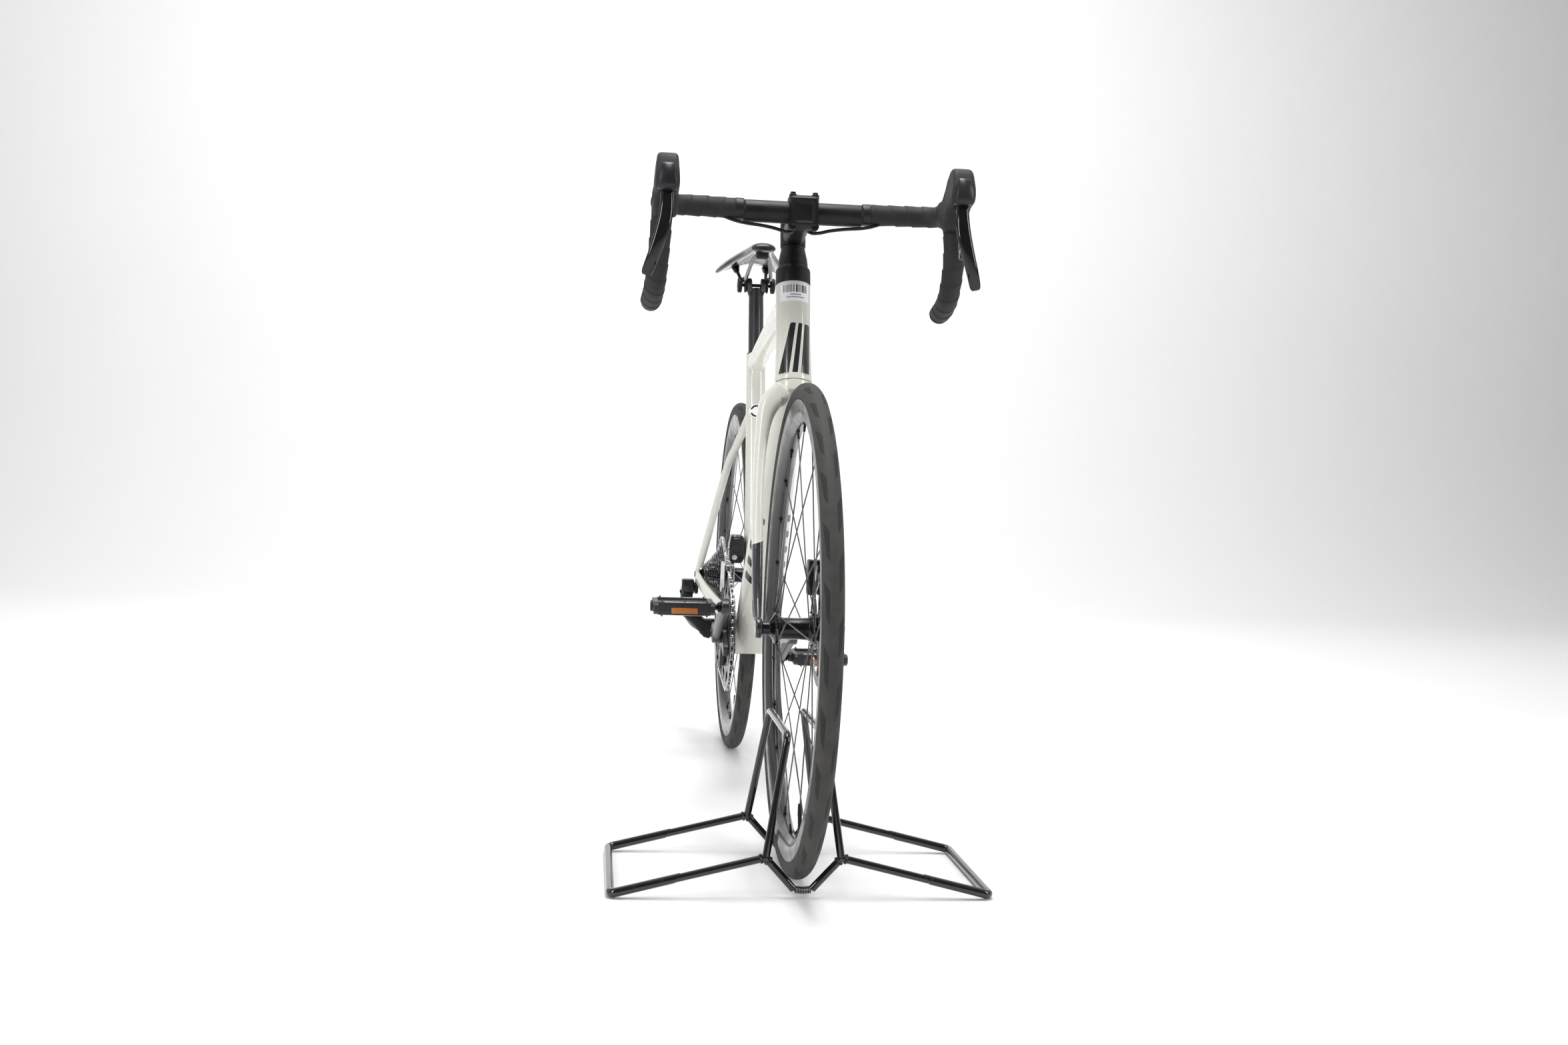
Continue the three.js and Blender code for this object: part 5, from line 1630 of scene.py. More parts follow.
def faceplate():
    """A cover with sloped edges, a square recess in its front and a lug for each screw."""
    b = BAR_CENTRE
    # half width, half height, corner radius, distance in front of the bar's centre
    steps = [
        (21.6, 24.5, 4, 2.6), (21.6, 24.5, 4, 10), (21.0, 23.4, 4, 14.5),
        (18.6, 19.8, 4, 21.4), (17.8, 18.8, 4, 22.2), (14.6, 15.8, 4, 22.4),
        (14.0, 15.2, 4, 22.0), (12.2, 13.4, 4, 18.8), (11.6, 12.8, 4, 18.4),
    ]
    rings = []
    for half, tall, corner, reach in steps:
        square = rounded([(-half, -tall), (half, -tall), (half, tall), (-half, tall)], corner, 5)
        rings.append([Vector((p.x, b.y - reach, b.z + p.y)) for p in square])
    lugs = Shape()
    for x in (-16, 16):
        lugs += rod((x, b.y - 4, b.z - 20.4), (x, b.y - 17.5, b.z - 20.4), 6.2, 28, 1.6)
        lugs += rod((x, b.y - 10.5, b.z + 16), (x, b.y - 10.5, b.z + 25.5), 5.6, 28, 1.4)
    return skin(rings) + lugs


def faceplate_screws():
    b = BAR_CENTRE
    whole = Shape()
    for x in (-16, 16):
        whole += socket_screw((x, b.y - 17, b.z - 20.4), (0, -1, 0), 4.2, 2.6, 2.0)
        whole += socket_screw((x, b.y - 10.5, b.z + 25), (0, 0, 1), 3.9, 3.4, 1.8)
    for distance in (71, 92):
        place = on_steering(distance) + Vector((0, 18.6, 5.6))
        whole += rod(place + Vector((-9, 0, 0)), place + Vector((9, 0, 0)), 3.4, 20)
    return whole


def top_cap():
    profile = [
        (0, 101.8), (16.4, 101.8), (17, 102.6), (17, 104),
        (14.5, 106.3), (6.4, 106.3), (5.8, 104.6), (0, 104.6),
    ]
    cap = turned(profile, 0.5, HEAD_TOP, STEERING, 48)
    return cap + socket_screw(on_steering(104.2), STEERING, 4.6, 1.6, 2.4)


def handlebar():
    reach = BAR_CLAMP_REACH
    half = [(BAR_CLAMP_RADIUS, reach), (BAR_RADIUS, reach + 5), (0, reach + 5)]
    centre = turned(
        [(r, -x) for r, x in reversed(half)] + half,
        1.5,
        BAR_CENTRE,
        (1, 0, 0),
        48,
    )
    return centre + tube(bar_line(1), BAR_RADIUS, 32) + tube(bar_line(-1), BAR_RADIUS, 32)


def lengths_along(line):
    made = [0.0]
    for a, b in zip(line, line[1:]):
        made.append(made[-1] + (b - a).length)
    return made


def resampled(line, step):
    """Points at an even spacing along a line."""
    lengths = lengths_along(line)
    count = max(2, int(lengths[-1] / step))
    made, k = [], 0
    for i in range(count + 1):
        wanted = lengths[-1] * i / count
        while k < len(line) - 2 and lengths[k + 1] < wanted:
            k += 1
        span = lengths[k + 1] - lengths[k]
        made.append(line[k].lerp(line[k + 1], (wanted - lengths[k]) / span if span else 0))
    return made


def bar_tape(side):
    """Tape wound round the bar: each turn laps over the last, with a soft edge."""
    line = [p for p in bar_line(side, 20) if abs(p.x) > TAPE_START or p.z < BAR_CENTRE.z - 4]
    even = resampled(line, 1.0)
    whole_length = lengths_along(even)[-1]
    chance = random.Random(11 + side)
    sway = [chance.uniform(-0.35, 0.35) for _ in range(40)]

    def radius(share, turn):
        wraps = share * whole_length / TAPE_PITCH - side * turn / TAU
        within = wraps - math.floor(wraps)
        lap = 1.1 * ((1 - within) ** 1.3 if within > 0.035 else within / 0.035)
        ripple = 0.14 * math.sin(turn * 3 + sway[int(wraps) % 40] * 9) + sway[int(wraps) % 40] * 0.3
        end = min(1, share * whole_length / 3, (1 - share) * whole_length / 3)
        return TAPE_RADIUS + (0.9 + lap + ripple) * end

    return sweep(even, radius, 40)


def tape_band(side):
    """The finishing tape over the wound tape's inner end."""
    top = [p for p in bar_line(side, 20) if abs(p.x) < TAPE_START + 12 and abs(p.z - BAR_CENTRE.z) < 6]
    line = resampled(top, 1.0)
    near = [p for p in line if TAPE_START - 9 < abs(p.x) < TAPE_START + 4]
    return sweep(near, lambda share, _: BAND_RADIUS - 0.5 * (2 * share - 1) ** 8, 40)


def bar_plug(side):
    line = bar_line(side)
    direction = (line[-1] - line[-2]).normalized()
    profile = [(0, -4), (12.6, -4), (14.3, -1.5), (14.3, 1.8), (11.5, 3.4), (5, 3.0), (0, 2.2)]
    return turned(profile, 0.8, line[-1], direction, 40)


HOOD_OUTLINE = [
    (-46, 17), (-84, 15), (-104, 29), (-117, 49), (-129, 54), (-146, 48), (-158, 23), (-153, 3), (-122, -3),
    (-104, -26), (-88, -30), (-72, -16), (-54, -4), (-40, 2),
]


def hood_skin(side):
    """The grip: full in the middle, softly rounded to its sides, with a tall horn at the front."""
    b = BAR_CENTRE
    outline = rounded([(b.y + y, b.z + z) for y, z in HOOD_OUTLINE], 8, 4)
    inner, outer = side * HOOD_X - HOOD_HALF_WIDTH, side * HOOD_X + HOOD_HALF_WIDTH
    grip = cushioned(outline, inner, outer, soft=7.0, steps=7, share=0.72)
    collar_line = [p for p in bar_line(side, 20) if -64 < p.y - b.y < -30 and p.z > b.z - 20]
    return grip + tube(collar_line, 17.2, 32, 1.5)


def narrowed(mesh, side):
    """The horn is narrower than the grip behind it."""
    b = BAR_CENTRE
    for vertex in mesh.vertices:
        p = vertex.co / MM
        rise = min(1, max(0, (p.z - b.z - 14) / 30))
        front = min(1, max(0, (b.y - 96 - p.y) / 30))
        share = 1 - 0.13 * rise * front
        p.x = side * HOOD_X + (p.x - side * HOOD_X) * share
        vertex.co = p * MM


def hood_panel(side):
    """The raised panel on the horn's front, wider at its foot."""
    b = BAR_CENTRE
    x = side * HOOD_X
    rings = []
    levels = (
        (37, -151.0, 8.0), (35.5, -153.6, 8.8), (32, -156.4, 9.2), (18, -160.6, 11.6), (7, -160.4, 12.8),
        (2, -158.0, 12.8), (0, -154.4, 12),
    )
    for z, y, half in levels:
        ring = []
        left = [(-half, 8), (-half, 1.2), (1.8 - half, -0.8)]
        for px, py in left + [(-px, py) for px, py in reversed(left)]:
            ring.append(Vector((x + px, b.y + y + py, b.z + z)))
        rings.append(ring)
    return skin(rings)


def hood_ribs(side):
    """Fine raised ribs on the grip's outer side."""
    b = BAR_CENTRE
    whole = Shape()
    for i in range(7):
        y = b.y - 66 - i * 6.5
        x = side * (HOOD_X + HOOD_HALF_WIDTH)
        whole += rod((x, y - 2, b.z - 6), (x, y + 2, b.z + 9), 0.75, 8, 0.2)
    return whole


def lever_blade(side):
    """The brake blade: a hollow-backed strip that curves down and out to a squared tip."""
    y, z = LEVER_TOP.y, LEVER_TOP.z
    rows = stations_through(
        [
            [side * HOOD_X, y, z + 6, 17, 9],
            [side * (HOOD_X + 1), y - 8, z - 26, 19, 9],
            [side * (HOOD_X + 8), y - 9, z - 58, 18, 8],
            [side * (HOOD_X + 17), y - 4, z - 86, 16.5, 7],
            [side * (HOOD_X + 23), y + 4, z - 103, 15, 6.4],
            [side * (HOOD_X + 24.3), y + 6, z - 107.5, 11, 4],
        ],
        8,
    )
    rings = []
    for k, row in enumerate(rows):
        centre = Vector(row[:3])
        tangent = (Vector(rows[min(k + 1, len(rows) - 1)][:3]) - Vector(rows[max(0, k - 1)][:3])).normalized()
        across = (Vector((1, 0, 0)) - tangent * tangent.x).normalized()
        deep = tangent.cross(across)
        deep = deep if deep.y < 0 else -deep
        w, d = row[3] / 2, row[4] / 2
        section = [
            (-w, -d * 0.6), (-w, 0.1 * d), (-w * 0.86, d * 0.62), (-w * 0.55, d * 0.92), (0, d),
            (w * 0.55, d * 0.92), (w * 0.86, d * 0.62), (w, 0.1 * d), (w, -d * 0.6), (w * 0.72, -d),
            (w * 0.5, -d * 0.3), (-w * 0.5, -d * 0.3), (-w * 0.72, -d),
        ]
        rings.append([centre + across * px + deep * py for px, py in section])
    return skin(rings)


def lever_pivot(side):
    x = side * HOOD_X
    y, z = LEVER_TOP.y + 4, LEVER_TOP.z + 2
    pin = rod((x - 9.5, y, z), (x + 9.5, y, z), 3.0, 20)
    reach = socket_screw((x, y - 6.8, z - 4), (0, -1, -0.25), 2.3, 1.6, 1.1)
    return pin + reach


def shift_paddle(side):
    y, z = LEVER_TOP.y, LEVER_TOP.z
    outline = [(9, -5), (21, -8), (26, -33), (21, -60), (14, -68), (7, -64), (4, -40)]
    placed = rounded([(y + p, z + q) for p, q in outline], 5, 4)
    x = side * (HOOD_X + 3)
    blade = plate(placed, x - 1.9, x + 1.9, [], 0.9)
    rib = [(13, -20), (18, -22), (20, -50), (14, -54)]
    raised = plate(rounded([(y + p, z + q) for p, q in rib], 3, 3), x - 2.6, x + 2.6, [], 0.6)
    return blade + raised


HOSE_PATH = [
    (114, -3, -10), (98, -6, -15.5), (82, -7, -18.6), (60, -5, -20.5), (40, -3, -23.5), (26, 2, -26.5),
    (15, 14, -25.5), (8, 30, -17),
]


def brake_hose(side):
    return tube([BAR_CENTRE + Vector((side * p.x, p.y, p.z)) for p in catmull(HOSE_PATH, 10)], 2.5, 20)


def build_cockpit():
    piece("spacer_cover", headset_cover(), "steering", M["cover"], "headset_cover", sharp=40)
    stem = fused("stem_body", stem_shape(), voxel=1.0, rounds=5)
    piece("stem_body", stem, "steering", M["matte"], "stem", sharp=60)
    piece("stem_front_cover", faceplate(), "steering", M["matte"], "stem_faceplate")
    piece("stem_screws", faceplate_screws(), "steering", M["axle"])
    piece("steerer_cap", top_cap(), "steering", M["matte"], "top_cap")
    piece("drop_bar", handlebar(), "steering", M["matte"], "handlebar", sharp=50)
    for name, side in SIDES:
        tape, node = bar_tape(side), f"{name}_bar_tape"
        piece(f"{name}_wound_tape", tape, "steering", M["tape"], node, sharp=60)
        piece(f"{name}_tape_end", tape_band(side), "steering", M["cover"], sharp=60)
        piece(f"{name}_bar_plug", bar_plug(side), "steering", M["cover"])
        hood = fused(f"{name}_grip", hood_skin(side), voxel=1.2, rounds=5)
        narrowed(hood, side)
        piece(f"{name}_grip", hood, "steering", M["hood"], f"{name}_hood", sharp=70)
        piece(f"{name}_grip_panel", hood_panel(side), "steering", M["panel"], sharp=50)
        piece(f"{name}_grip_ribs", hood_ribs(side), "steering", M["hood"])
        lever, paddle = f"{name}_brake_lever", f"{name}_shift_paddle"
        piece(f"{name}_blade", lever_blade(side), lever, M["lever"], lever, sharp=50)
        piece(f"{name}_lever_pin", lever_pivot(side), "steering", M["axle"])
        piece(f"{name}_paddle", shift_paddle(side), paddle, M["lever"], paddle)
        hose, node = brake_hose(side), f"{name}_brake_hose"
        piece(f"{name}_hose", hose, "steering", M["hose"], node, sharp=60)


# ---------------------------------------------------------------- seatpost and saddle
POST_HEAD = on_seat_tube(644)
SADDLE = [
    # y, z, width, thickness
    (145.5, 941, 30, 6), (149, 942, 38, 11), (158, 943, 43, 15), (190, 945, 46, 17), (240, 946, 56, 18),
    (290, 946, 82, 19), (335, 946, 114, 20), (375, 947, 134, 20), (400, 948, 126, 16), (409.5, 949, 104, 8),
]
SADDLE_DROOP = 27


def saddle_rings(shrink=0.0, lift=0.0):
    rings, sides = [], 72
    for row in stations_through([list(r) for r in SADDLE], 8):
        y, z, width, thick = row
        w, t = max(2, width / 2 - shrink), max(1.0, thick / 2 - shrink * 0.4)
        ring = []
        for i in range(sides):
            c, s = math.cos(TAU * i / sides), math.sin(TAU * i / sides)
            px = math.copysign(abs(c) ** 0.72, c) * w
            pz = math.copysign(abs(s) ** 0.85, s) * t
            dip = SADDLE_DROOP * (px / 67) ** 2
            channel = 2.6 * math.exp(-((px / 9) ** 2)) * max(0, s) * min(1, max(0, (y - 170) / 40))
            ring.append(Vector((px, y, z + pz - dip - channel + lift)))
        rings.append(ring)
    return rings


def saddle_base():
    """The glossy shell under the pad: a rim all round and a hollow between the rails."""
    rings = []
    for ring in saddle_rings(3.5, -3.4):
        y = ring[0].y
        centre_z = sum(p.z for p in ring) / len(ring)
        half = max(abs(p.x) for p in ring)
        hollow = 4.0 if 185 < y < 395 else 0
        rings.append([])
        for p in ring:
            rise = hollow * (1 - (p.x / half) ** 2) if p.z < centre_z else 0
            rings[-1].append(Vector((p.x, p.y, p.z + rise)))
    return skin(rings)


def rail(side):
    p = POST_HEAD
    path = [
        (6, 176, 930), (14, 192, 925), (22, p.y - 38, p.z + 10.5), (22, p.y, p.z + 9.5),
        (22, p.y + 45, p.z + 11.5), (27, 368, 921), (28, 380, 925),
    ]
    return tube([Vector((side * q.x, q.y, q.z)) for q in catmull(path, 10)], 3.5, 24)


def rail_sockets():
    front = slab((-11, 168, 924.5), (11, 184, 937), 3, 3)
    rear = Shape()
    for _, side in SIDES:
        stations = [[27.5, 366, 922, 9, 9], [28, 378, 926, 12, 13], [29, 392, 934, 16, 12]]
        rear += loft([[side * x, *rest] for x, *rest in stations], 20, domed=2)
    return front + rear


def post_shape():
    p = POST_HEAD
    outline = [(0, 390), (13.6, 390), (13.6, 600), (13.2, 622), (12, 636), (0, 636)]
    shaft = turned(outline, 2, BB, SEAT_AXIS, 56)
    drum = [(0, 8), (11.5, 8), (13, 10), (13, 15.5), (11.5, 17.4), (0, 17.4)]
    foot = on_seat_tube(612)
    head, horns = Shape(), Shape()
    for _, side in SIDES:
        head += turned(drum, 1, p, (side, 0, 0), 48)
        horns += loft(
            [
                [0, foot.y, foot.z, 20, 22],
                [side * 9, p.y - 1, p.z - 12, 13, 20],
                [side * 15, p.y, p.z + 3, 7, 20],
            ],
            24,
        )
    return shaft + head + horns


def clamp_drums():
    p = POST_HEAD
    whole = rod((-34.5, p.y, p.z), (34.5, p.y, p.z), 3, 24)
    for _, side in SIDES:
        lower = [(3.2, 17.6), (12.6, 17.6), (13.4, 19), (13.4, 21.4), (3.2, 21.4)]
        whole += turned(lower, 0.8, p, (side, 0, 0), 48, True)
        outer = [(3.2, 26.2), (12.6, 26.2), (14, 27.6), (14, 32), (12.8, 34), (6.4, 34), (5.8, 33), (3.2, 33)]
        whole += turned(outer, 0.8, p, (side, 0, 0), 48, True)
        x0, x1 = sorted((side * 18, side * 27))
        whole += slab((x0, p.y - 15, p.z + 5), (x1, p.y + 15, p.z + 14), 3, 3)
    return whole


def build_seat():
    pad = piece("saddle_pad", skin(saddle_rings()), "seat", M["saddle"], "saddle", sharp=70)
    piece("saddle_base", saddle_base(), "seat", M["shell"], sharp=70)
    piece("saddle_rail_pair", rail(1) + rail(-1), "seat", M["rail"], "saddle_rails", sharp=60)
    piece("rail_sockets", rail_sockets(), "seat", M["cover"])
    post = fused("post_body", post_shape(), voxel=1.0, rounds=4)
    piece("post_body", post, "seat", M["post"], "seatpost", sharp=60)
    piece("clamp_drums", clamp_drums(), "seat", M["matte"], "saddle_clamp")


# ---------------------------------------------------------------- drivetrain
PITCH = 12.7
CRANK_LENGTH, CRANK_TURN = 172.5, math.radians(20)
CRANK_INNER, CRANK_OUTER = 58.0, 74.0
OUTER_RING, INNER_RING = (48, -47.0), (35, -41.0)
SPROCKETS = (36, 32, 28, 24, 21, 19, 17, 15, 13, 12, 11, 10)
FIRST_SPROCKET_X, SPROCKET_STEP = -27.6, 3.15
JOCKEY_TEETH = 11


def pitch_radius(teeth):
    return PITCH / (2 * math.sin(math.pi / teeth))


def gear_outline(teeth, y, z, tip=3.4, start=0.0):
    """Teeth that fit a roller chain: a seat between each two, and flanks up to a narrow tip."""
    radius = pitch_radius(teeth)
    step = TAU / teeth
    outline = []
    for k in range(teeth):
        base = start + k * step
        for share, r in ((-0.12, -3.9), (0.12, -3.9), (0.27, 0), (0.43, tip), (0.57, tip), (0.73, 0)):
            turn = base + share * step
            outline.append(at_turn(y, z, radius + r, turn))
    return outline


def slots_round(y, z, inner, outer, count, fill, start=0.0):
    """A ring of curved windows."""
    found = []
    for k in range(count):
        middle_turn = start + TAU * k / count
        half = math.pi / count * fill
        steps = 6
        ring = [(inner, middle_turn - half + 2 * half * i / steps) for i in range(steps + 1)]
        ring += [(outer, middle_turn + half - 2 * half * i / steps) for i in range(steps + 1)]
        found.append([Vector(at_turn(y, z, r, t)) for r, t in ring])
    return found


def cassette():
    whole = Shape()
    y, z = REAR_AXLE.y, REAR_AXLE.z
    for i, teeth in enumerate(SPROCKETS):
        x = FIRST_SPROCKET_X - i * SPROCKET_STEP
        radius = pitch_radius(teeth)
        tip = -1.8 if i == 0 else 2.6
        outline = gear_outline(teeth, y, z, tip)
        holes = [circle(17.2, 48, y, z)]
        if radius > 36:
            holes += slots_round(y, z, 24, radius - 11, 8 if radius > 55 else 6, 0.62, 0.2 * i)
        whole += plate(outline, x - 0.85, x + 0.85, holes, 0.2)
    return whole


def cassette_spacers():
    y, z = REAR_AXLE.y, REAR_AXLE.z
    last = FIRST_SPROCKET_X - (len(SPROCKETS) - 1) * SPROCKET_STEP
    whole = Shape()
    for i in range(len(SPROCKETS) - 1):
        x = FIRST_SPROCKET_X - i * SPROCKET_STEP
        outer = min(22.5, pitch_radius(SPROCKETS[i + 1]) - 5)
        if outer > 17.6:
            ring = [(17.0, x - 2.3), (outer, x - 2.3), (outer, x - 0.85), (17.0, x - 0.85)]
            whole += turned(ring, 0.2, (0, y, z), (1, 0, 0), 40, True)
    lock = [(10.6, last - 3.2), (15.4, last - 3.2), (15.4, last - 0.9), (10.6, last - 0.9)]
    return whole + turned(lock, 0.4, (0, y, z), (1, 0, 0), 48, True)


def crank_point(half, distance):
    """A point on an arm's line: half is 1 for the drive side and -1 for the other."""
    direction = Vector((0, -half * math.cos(CRANK_TURN), half * math.sin(CRANK_TURN)))
    return Vector((0, BB.y, BB.z)) + direction * distance


def crank_arm(half):
    """A rounded bar between its boss and its pedal eye."""
    outward = -half
    middle_x = outward * (CRANK_INNER + CRANK_OUTER) / 2
    stations = []
    sizes = ((0, 30, 15), (30, 27, 15.4), (90, 24, 15.4), (140, 22, 14.4), (CRANK_LENGTH, 21, 13))
    for distance, wide, thick in sizes:
        point = crank_point(half, distance)
        stations.append([middle_x, point.y, point.z, thick, wide])
    arm = loft(stations, 32, fullness=3.4)
    eye = crank_point(half, CRANK_LENGTH)
    x0, x1 = sorted((outward * CRANK_INNER, outward * CRANK_OUTER))
    boss = turned_across([(0, x0), (18, x0), (18, x1), (0, x1)], 2, BB, 48)
    end = turned_across([(0, x0 + 0.6), (12.5, x0 + 0.6), (12.5, x1 - 0.6), (0, x1 - 0.6)], 2, eye, 40)
    return arm + boss + end


def crank_details(half):
    """The fixing bolt's cap, and a washer on each side of the pedal's eye."""
    outward = -half
    eye = crank_point(half, CRANK_LENGTH)
    face = outward * CRANK_OUTER
    cap = [(0, -0.4), (9.4, -0.4), (9.4, 1.0), (6.6, 1.0), (6.0, 0.2), (0, 0.2)]
    whole = turned(cap, 0.4, (face, BB.y, BB.z), (outward, 0, 0), 40)
    washer = [(5.4, -0.4), (8.6, -0.4), (8.6, 1.0), (5.4, 1.0)]
    inner_face = outward * CRANK_INNER
    whole += turned(washer, 0.3, (face, eye.y, eye.z), (outward, 0, 0), 32, True)
    return whole + turned(washer, 0.3, (inner_face, eye.y, eye.z), (-outward, 0, 0), 32, True)


def spider():
    arms, whole = 4, Shape()
    x0, x1 = -58.4, OUTER_RING[1] - 2.3
    outline = []
    for k in range(arms):
        turn = math.pi - CRANK_TURN + TAU * (k + 0.5) / arms
        for radius, spread in ((24, -0.62), (44, -0.27), (65.5, -0.14), (65.5, 0.14), (44, 0.27), (24, 0.62)):
            outline.append(at_turn(BB.y, BB.z, radius, turn + spread))
    whole += plate(rounded(outline, 6, 3), x0, x1, [circle(12.6, 40, BB.y, BB.z)], 1.4)
    neck = [(12.6, -58.4), (15, -58.4), (15, -38.5), (12.6, -38.5)]
    return whole + turned_across(neck, 0.6, BB, 48, True)


def ring_bolts():
    whole = Shape()
    for k in range(4):
        turn = math.pi - CRANK_TURN + TAU * (k + 0.5) / 4
        whole += socket_screw(round_axle(BB, 58, turn, -39.6), (1, 0, 0), 5.0, 1.8, 2.1)
    return whole


def chainring(ring, inner, thickness, tip, start):
    teeth, x = ring
    outline = gear_outline(teeth, BB.y, BB.z, tip, start)
    radius = pitch_radius(teeth)
    holes = [circle(inner, 72, BB.y, BB.z)]
    if radius - inner > 30:
        holes += slots_round(BB.y, BB.z, inner + 17, radius - 12, 8, 0.55, math.pi / 8)
    return plate(outline, x - thickness / 2, x + thickness / 2, holes, 0.3)


def left_axle():
    neck = [(0, -66.6), (12, -66.6), (12, 41.3), (15, 41.3), (15, CRANK_INNER + 1), (0, CRANK_INNER + 1)]
    return turned_across(neck, 0.5, BB, 48)


# ---------------------------------------------------------------- pedals
PEDAL_NEAR, PEDAL_FAR, PEDAL_HALF_LENGTH, PEDAL_HALF_HEIGHT = 86.0, 184.0, 47.0, 10.5


def pedal_frame(half):
    """An open platform: two ribbed end beams, two side plates and the axle's barrel."""
    eye = crank_point(half, CRANK_LENGTH)
    outward = -half
    x0, x1 = sorted((outward * PEDAL_NEAR, outward * PEDAL_FAR))
    whole = Shape()
    h = PEDAL_HALF_HEIGHT
    for end in (-1, 1):
        outer, inner = eye.y + end * PEDAL_HALF_LENGTH, eye.y + end * (PEDAL_HALF_LENGTH - 9)
        lean = end * 1.6
        section = [
            (outer, -h * 0.45), (outer - lean, -h), (inner, -h),
            (inner, h), (outer - lean, h), (outer, h * 0.45),
        ]
        ends = rounded([(y, eye.z + z) for y, z in section], 1.2, 3)
        whole += plate(ends, x0 + 7, x1 - 7, [], 0.8)
        for i in range(9):
            x = x0 + 16 + i * (x1 - x0 - 32) / 8
            y0, y1 = sorted((outer - end * 1.5, outer + end * 0.5))
            whole += slab((x - 1.0, y0, eye.z - h * 0.42), (x + 1.0, y1, eye.z + h * 0.42), 0.3, 1)
    for x in (x0, x1 - 9):
        length = PEDAL_HALF_LENGTH
        outline = [
            (-length + 9, -h), (-12, -h + 1.5), (12, -h + 1.5), (length - 9, -h),
            (length, -h * 0.5), (length, h * 0.5), (length - 9, h), (12, h - 1.5),
            (-12, h - 1.5), (-length + 9, h), (-length, h * 0.5), (-length, -h * 0.5),
        ]
        windows = []
        if (x == x0) == (outward < 0):
            for end in (-1, 1):
                a, b = sorted((end * 15, end * (length - 11)))
                windows.append(rounded([(eye.y + a, eye.z - 4.6), (eye.y + b, eye.z - 4.6),
                                        (eye.y + b, eye.z + 4.6), (eye.y + a, eye.z + 4.6)], 2, 3))
        whole += plate(rounded([(eye.y + y, eye.z + z) for y, z in outline], 2.2, 3), x, x + 9, windows, 1.0)
    barrel = [(5.4, x0 - 4), (8.6, x0 - 4), (9.5, x0 + 4), (9.5, x1 - 8), (8, x1 - 4), (5.4, x1 - 5)]
    if outward > 0:
        barrel = [(5.4, x0 - 6), (8.6, x0 - 6), (9.5, x0 + 2), (9.5, x1 - 4), (5.4, x1 - 4)]
    whole += turned_across(barrel, 0.8, eye, 40, True)
    return whole


def pedal_pins(half):
    """Small studs on both treads, three along each end."""
    eye = crank_point(half, CRANK_LENGTH)
    outward = -half
    whole = Shape()
    for end in (-1, 1):
        for distance in (PEDAL_NEAR + 13, (PEDAL_NEAR + PEDAL_FAR) / 2, PEDAL_FAR - 13):
            y = eye.y + end * (PEDAL_HALF_LENGTH - 4.6)
            for up in (-1, 1):
                foot = (outward * distance, y, eye.z + up * (PEDAL_HALF_HEIGHT - 1))
                top = (outward * distance, y, eye.z + up * (PEDAL_HALF_HEIGHT + 2.4))
                whole += rod(foot, top, 1.6, 12, 0.3)
    return whole


def pedal_edges(half):
    """The bare metal bevels along the top of each end."""
    eye = crank_point(half, CRANK_LENGTH)
    outward = -half
    x0, x1 = sorted((outward * (PEDAL_NEAR + 17), outward * (PEDAL_FAR - 17)))
    whole = Shape()
    for end in (-1, 1):
        for up in (-1, 1):
            outer = eye.y + end * (PEDAL_HALF_LENGTH - 0.6)
            inner = eye.y + end * (PEDAL_HALF_LENGTH - 7.5)
            a, b = sorted((outer, inner))
            z0, z1 = sorted((eye.z + up * (PEDAL_HALF_HEIGHT - 0.9), eye.z + up * (PEDAL_HALF_HEIGHT + 0.35)))
            whole += slab((x0, a, z0), (x1, b, z1), 0.5, 2)
    return whole


def pedal_reflectors(half):
    eye = crank_point(half, CRANK_LENGTH)
    outward = -half
    centre = outward * (PEDAL_NEAR + PEDAL_FAR) / 2
    whole = Shape()
    for end in (-1, 1):
        a, b = sorted((eye.y + end * (PEDAL_HALF_LENGTH - 2), eye.y + end * (PEDAL_HALF_LENGTH + 1.6)))
        whole += slab((centre - 21, a, eye.z - 7.6), (centre + 21, b, eye.z + 1.6), 0.7, 2)
    return whole


def build_pedal(name, half):
    eye = crank_point(half, CRANK_LENGTH)
    outward = -half
    pedal = f"{name}_pedal"
    piece(f"{pedal}_frame", pedal_frame(half), pedal, M["pedal"], pedal)
    piece(f"{pedal}_pins", pedal_pins(half), pedal, M["pin"])
    piece(f"{pedal}_edges", pedal_edges(half), pedal, M["edge"])
    piece(f"{pedal}_reflectors", pedal_reflectors(half), pedal, M["reflector"])
    start, end = outward * (CRANK_OUTER + 0.3), outward * 178
    section = [(0, 0), (8.2, 0), (8.2, 4), (5, 5), (5, abs(end - start)), (0, abs(end - start))]
    axle = turned(section, 0.5, (start, eye.y, eye.z), (outward, 0, 0), 32)
    piece(f"{name}_pedal_axle", axle, "crankset", M["axle"], f"{name}_pedal_spindle")


# ---------------------------------------------------------------- chain
CHAIN_WHEELS = (
    (BB, pitch_radius(OUTER_RING[0]), 1, OUTER_RING[1]),
    (REAR_AXLE, pitch_radius(SPROCKETS[0]), 1, FIRST_SPROCKET_X),
    (UPPER_JOCKEY, pitch_radius(JOCKEY_TEETH), -1, FIRST_SPROCKET_X),
    (LOWER_JOCKEY, pitch_radius(JOCKEY_TEETH), 1, FIRST_SPROCKET_X),
)


def tangent_turns(first, second):
    """Where the run between two wheels leaves the first and meets the second."""
    (a, ra, ta, _), (b, rb, tb, _) = first, second
    heading = math.atan2(b.z - a.z, b.y - a.y)
    distance = math.hypot(b.z - a.z, b.y - a.y)
    normal = heading + math.pi / 2 - math.asin((ta * ra - tb * rb) / distance)
    return (normal if ta > 0 else normal + math.pi), (normal if tb > 0 else normal + math.pi)


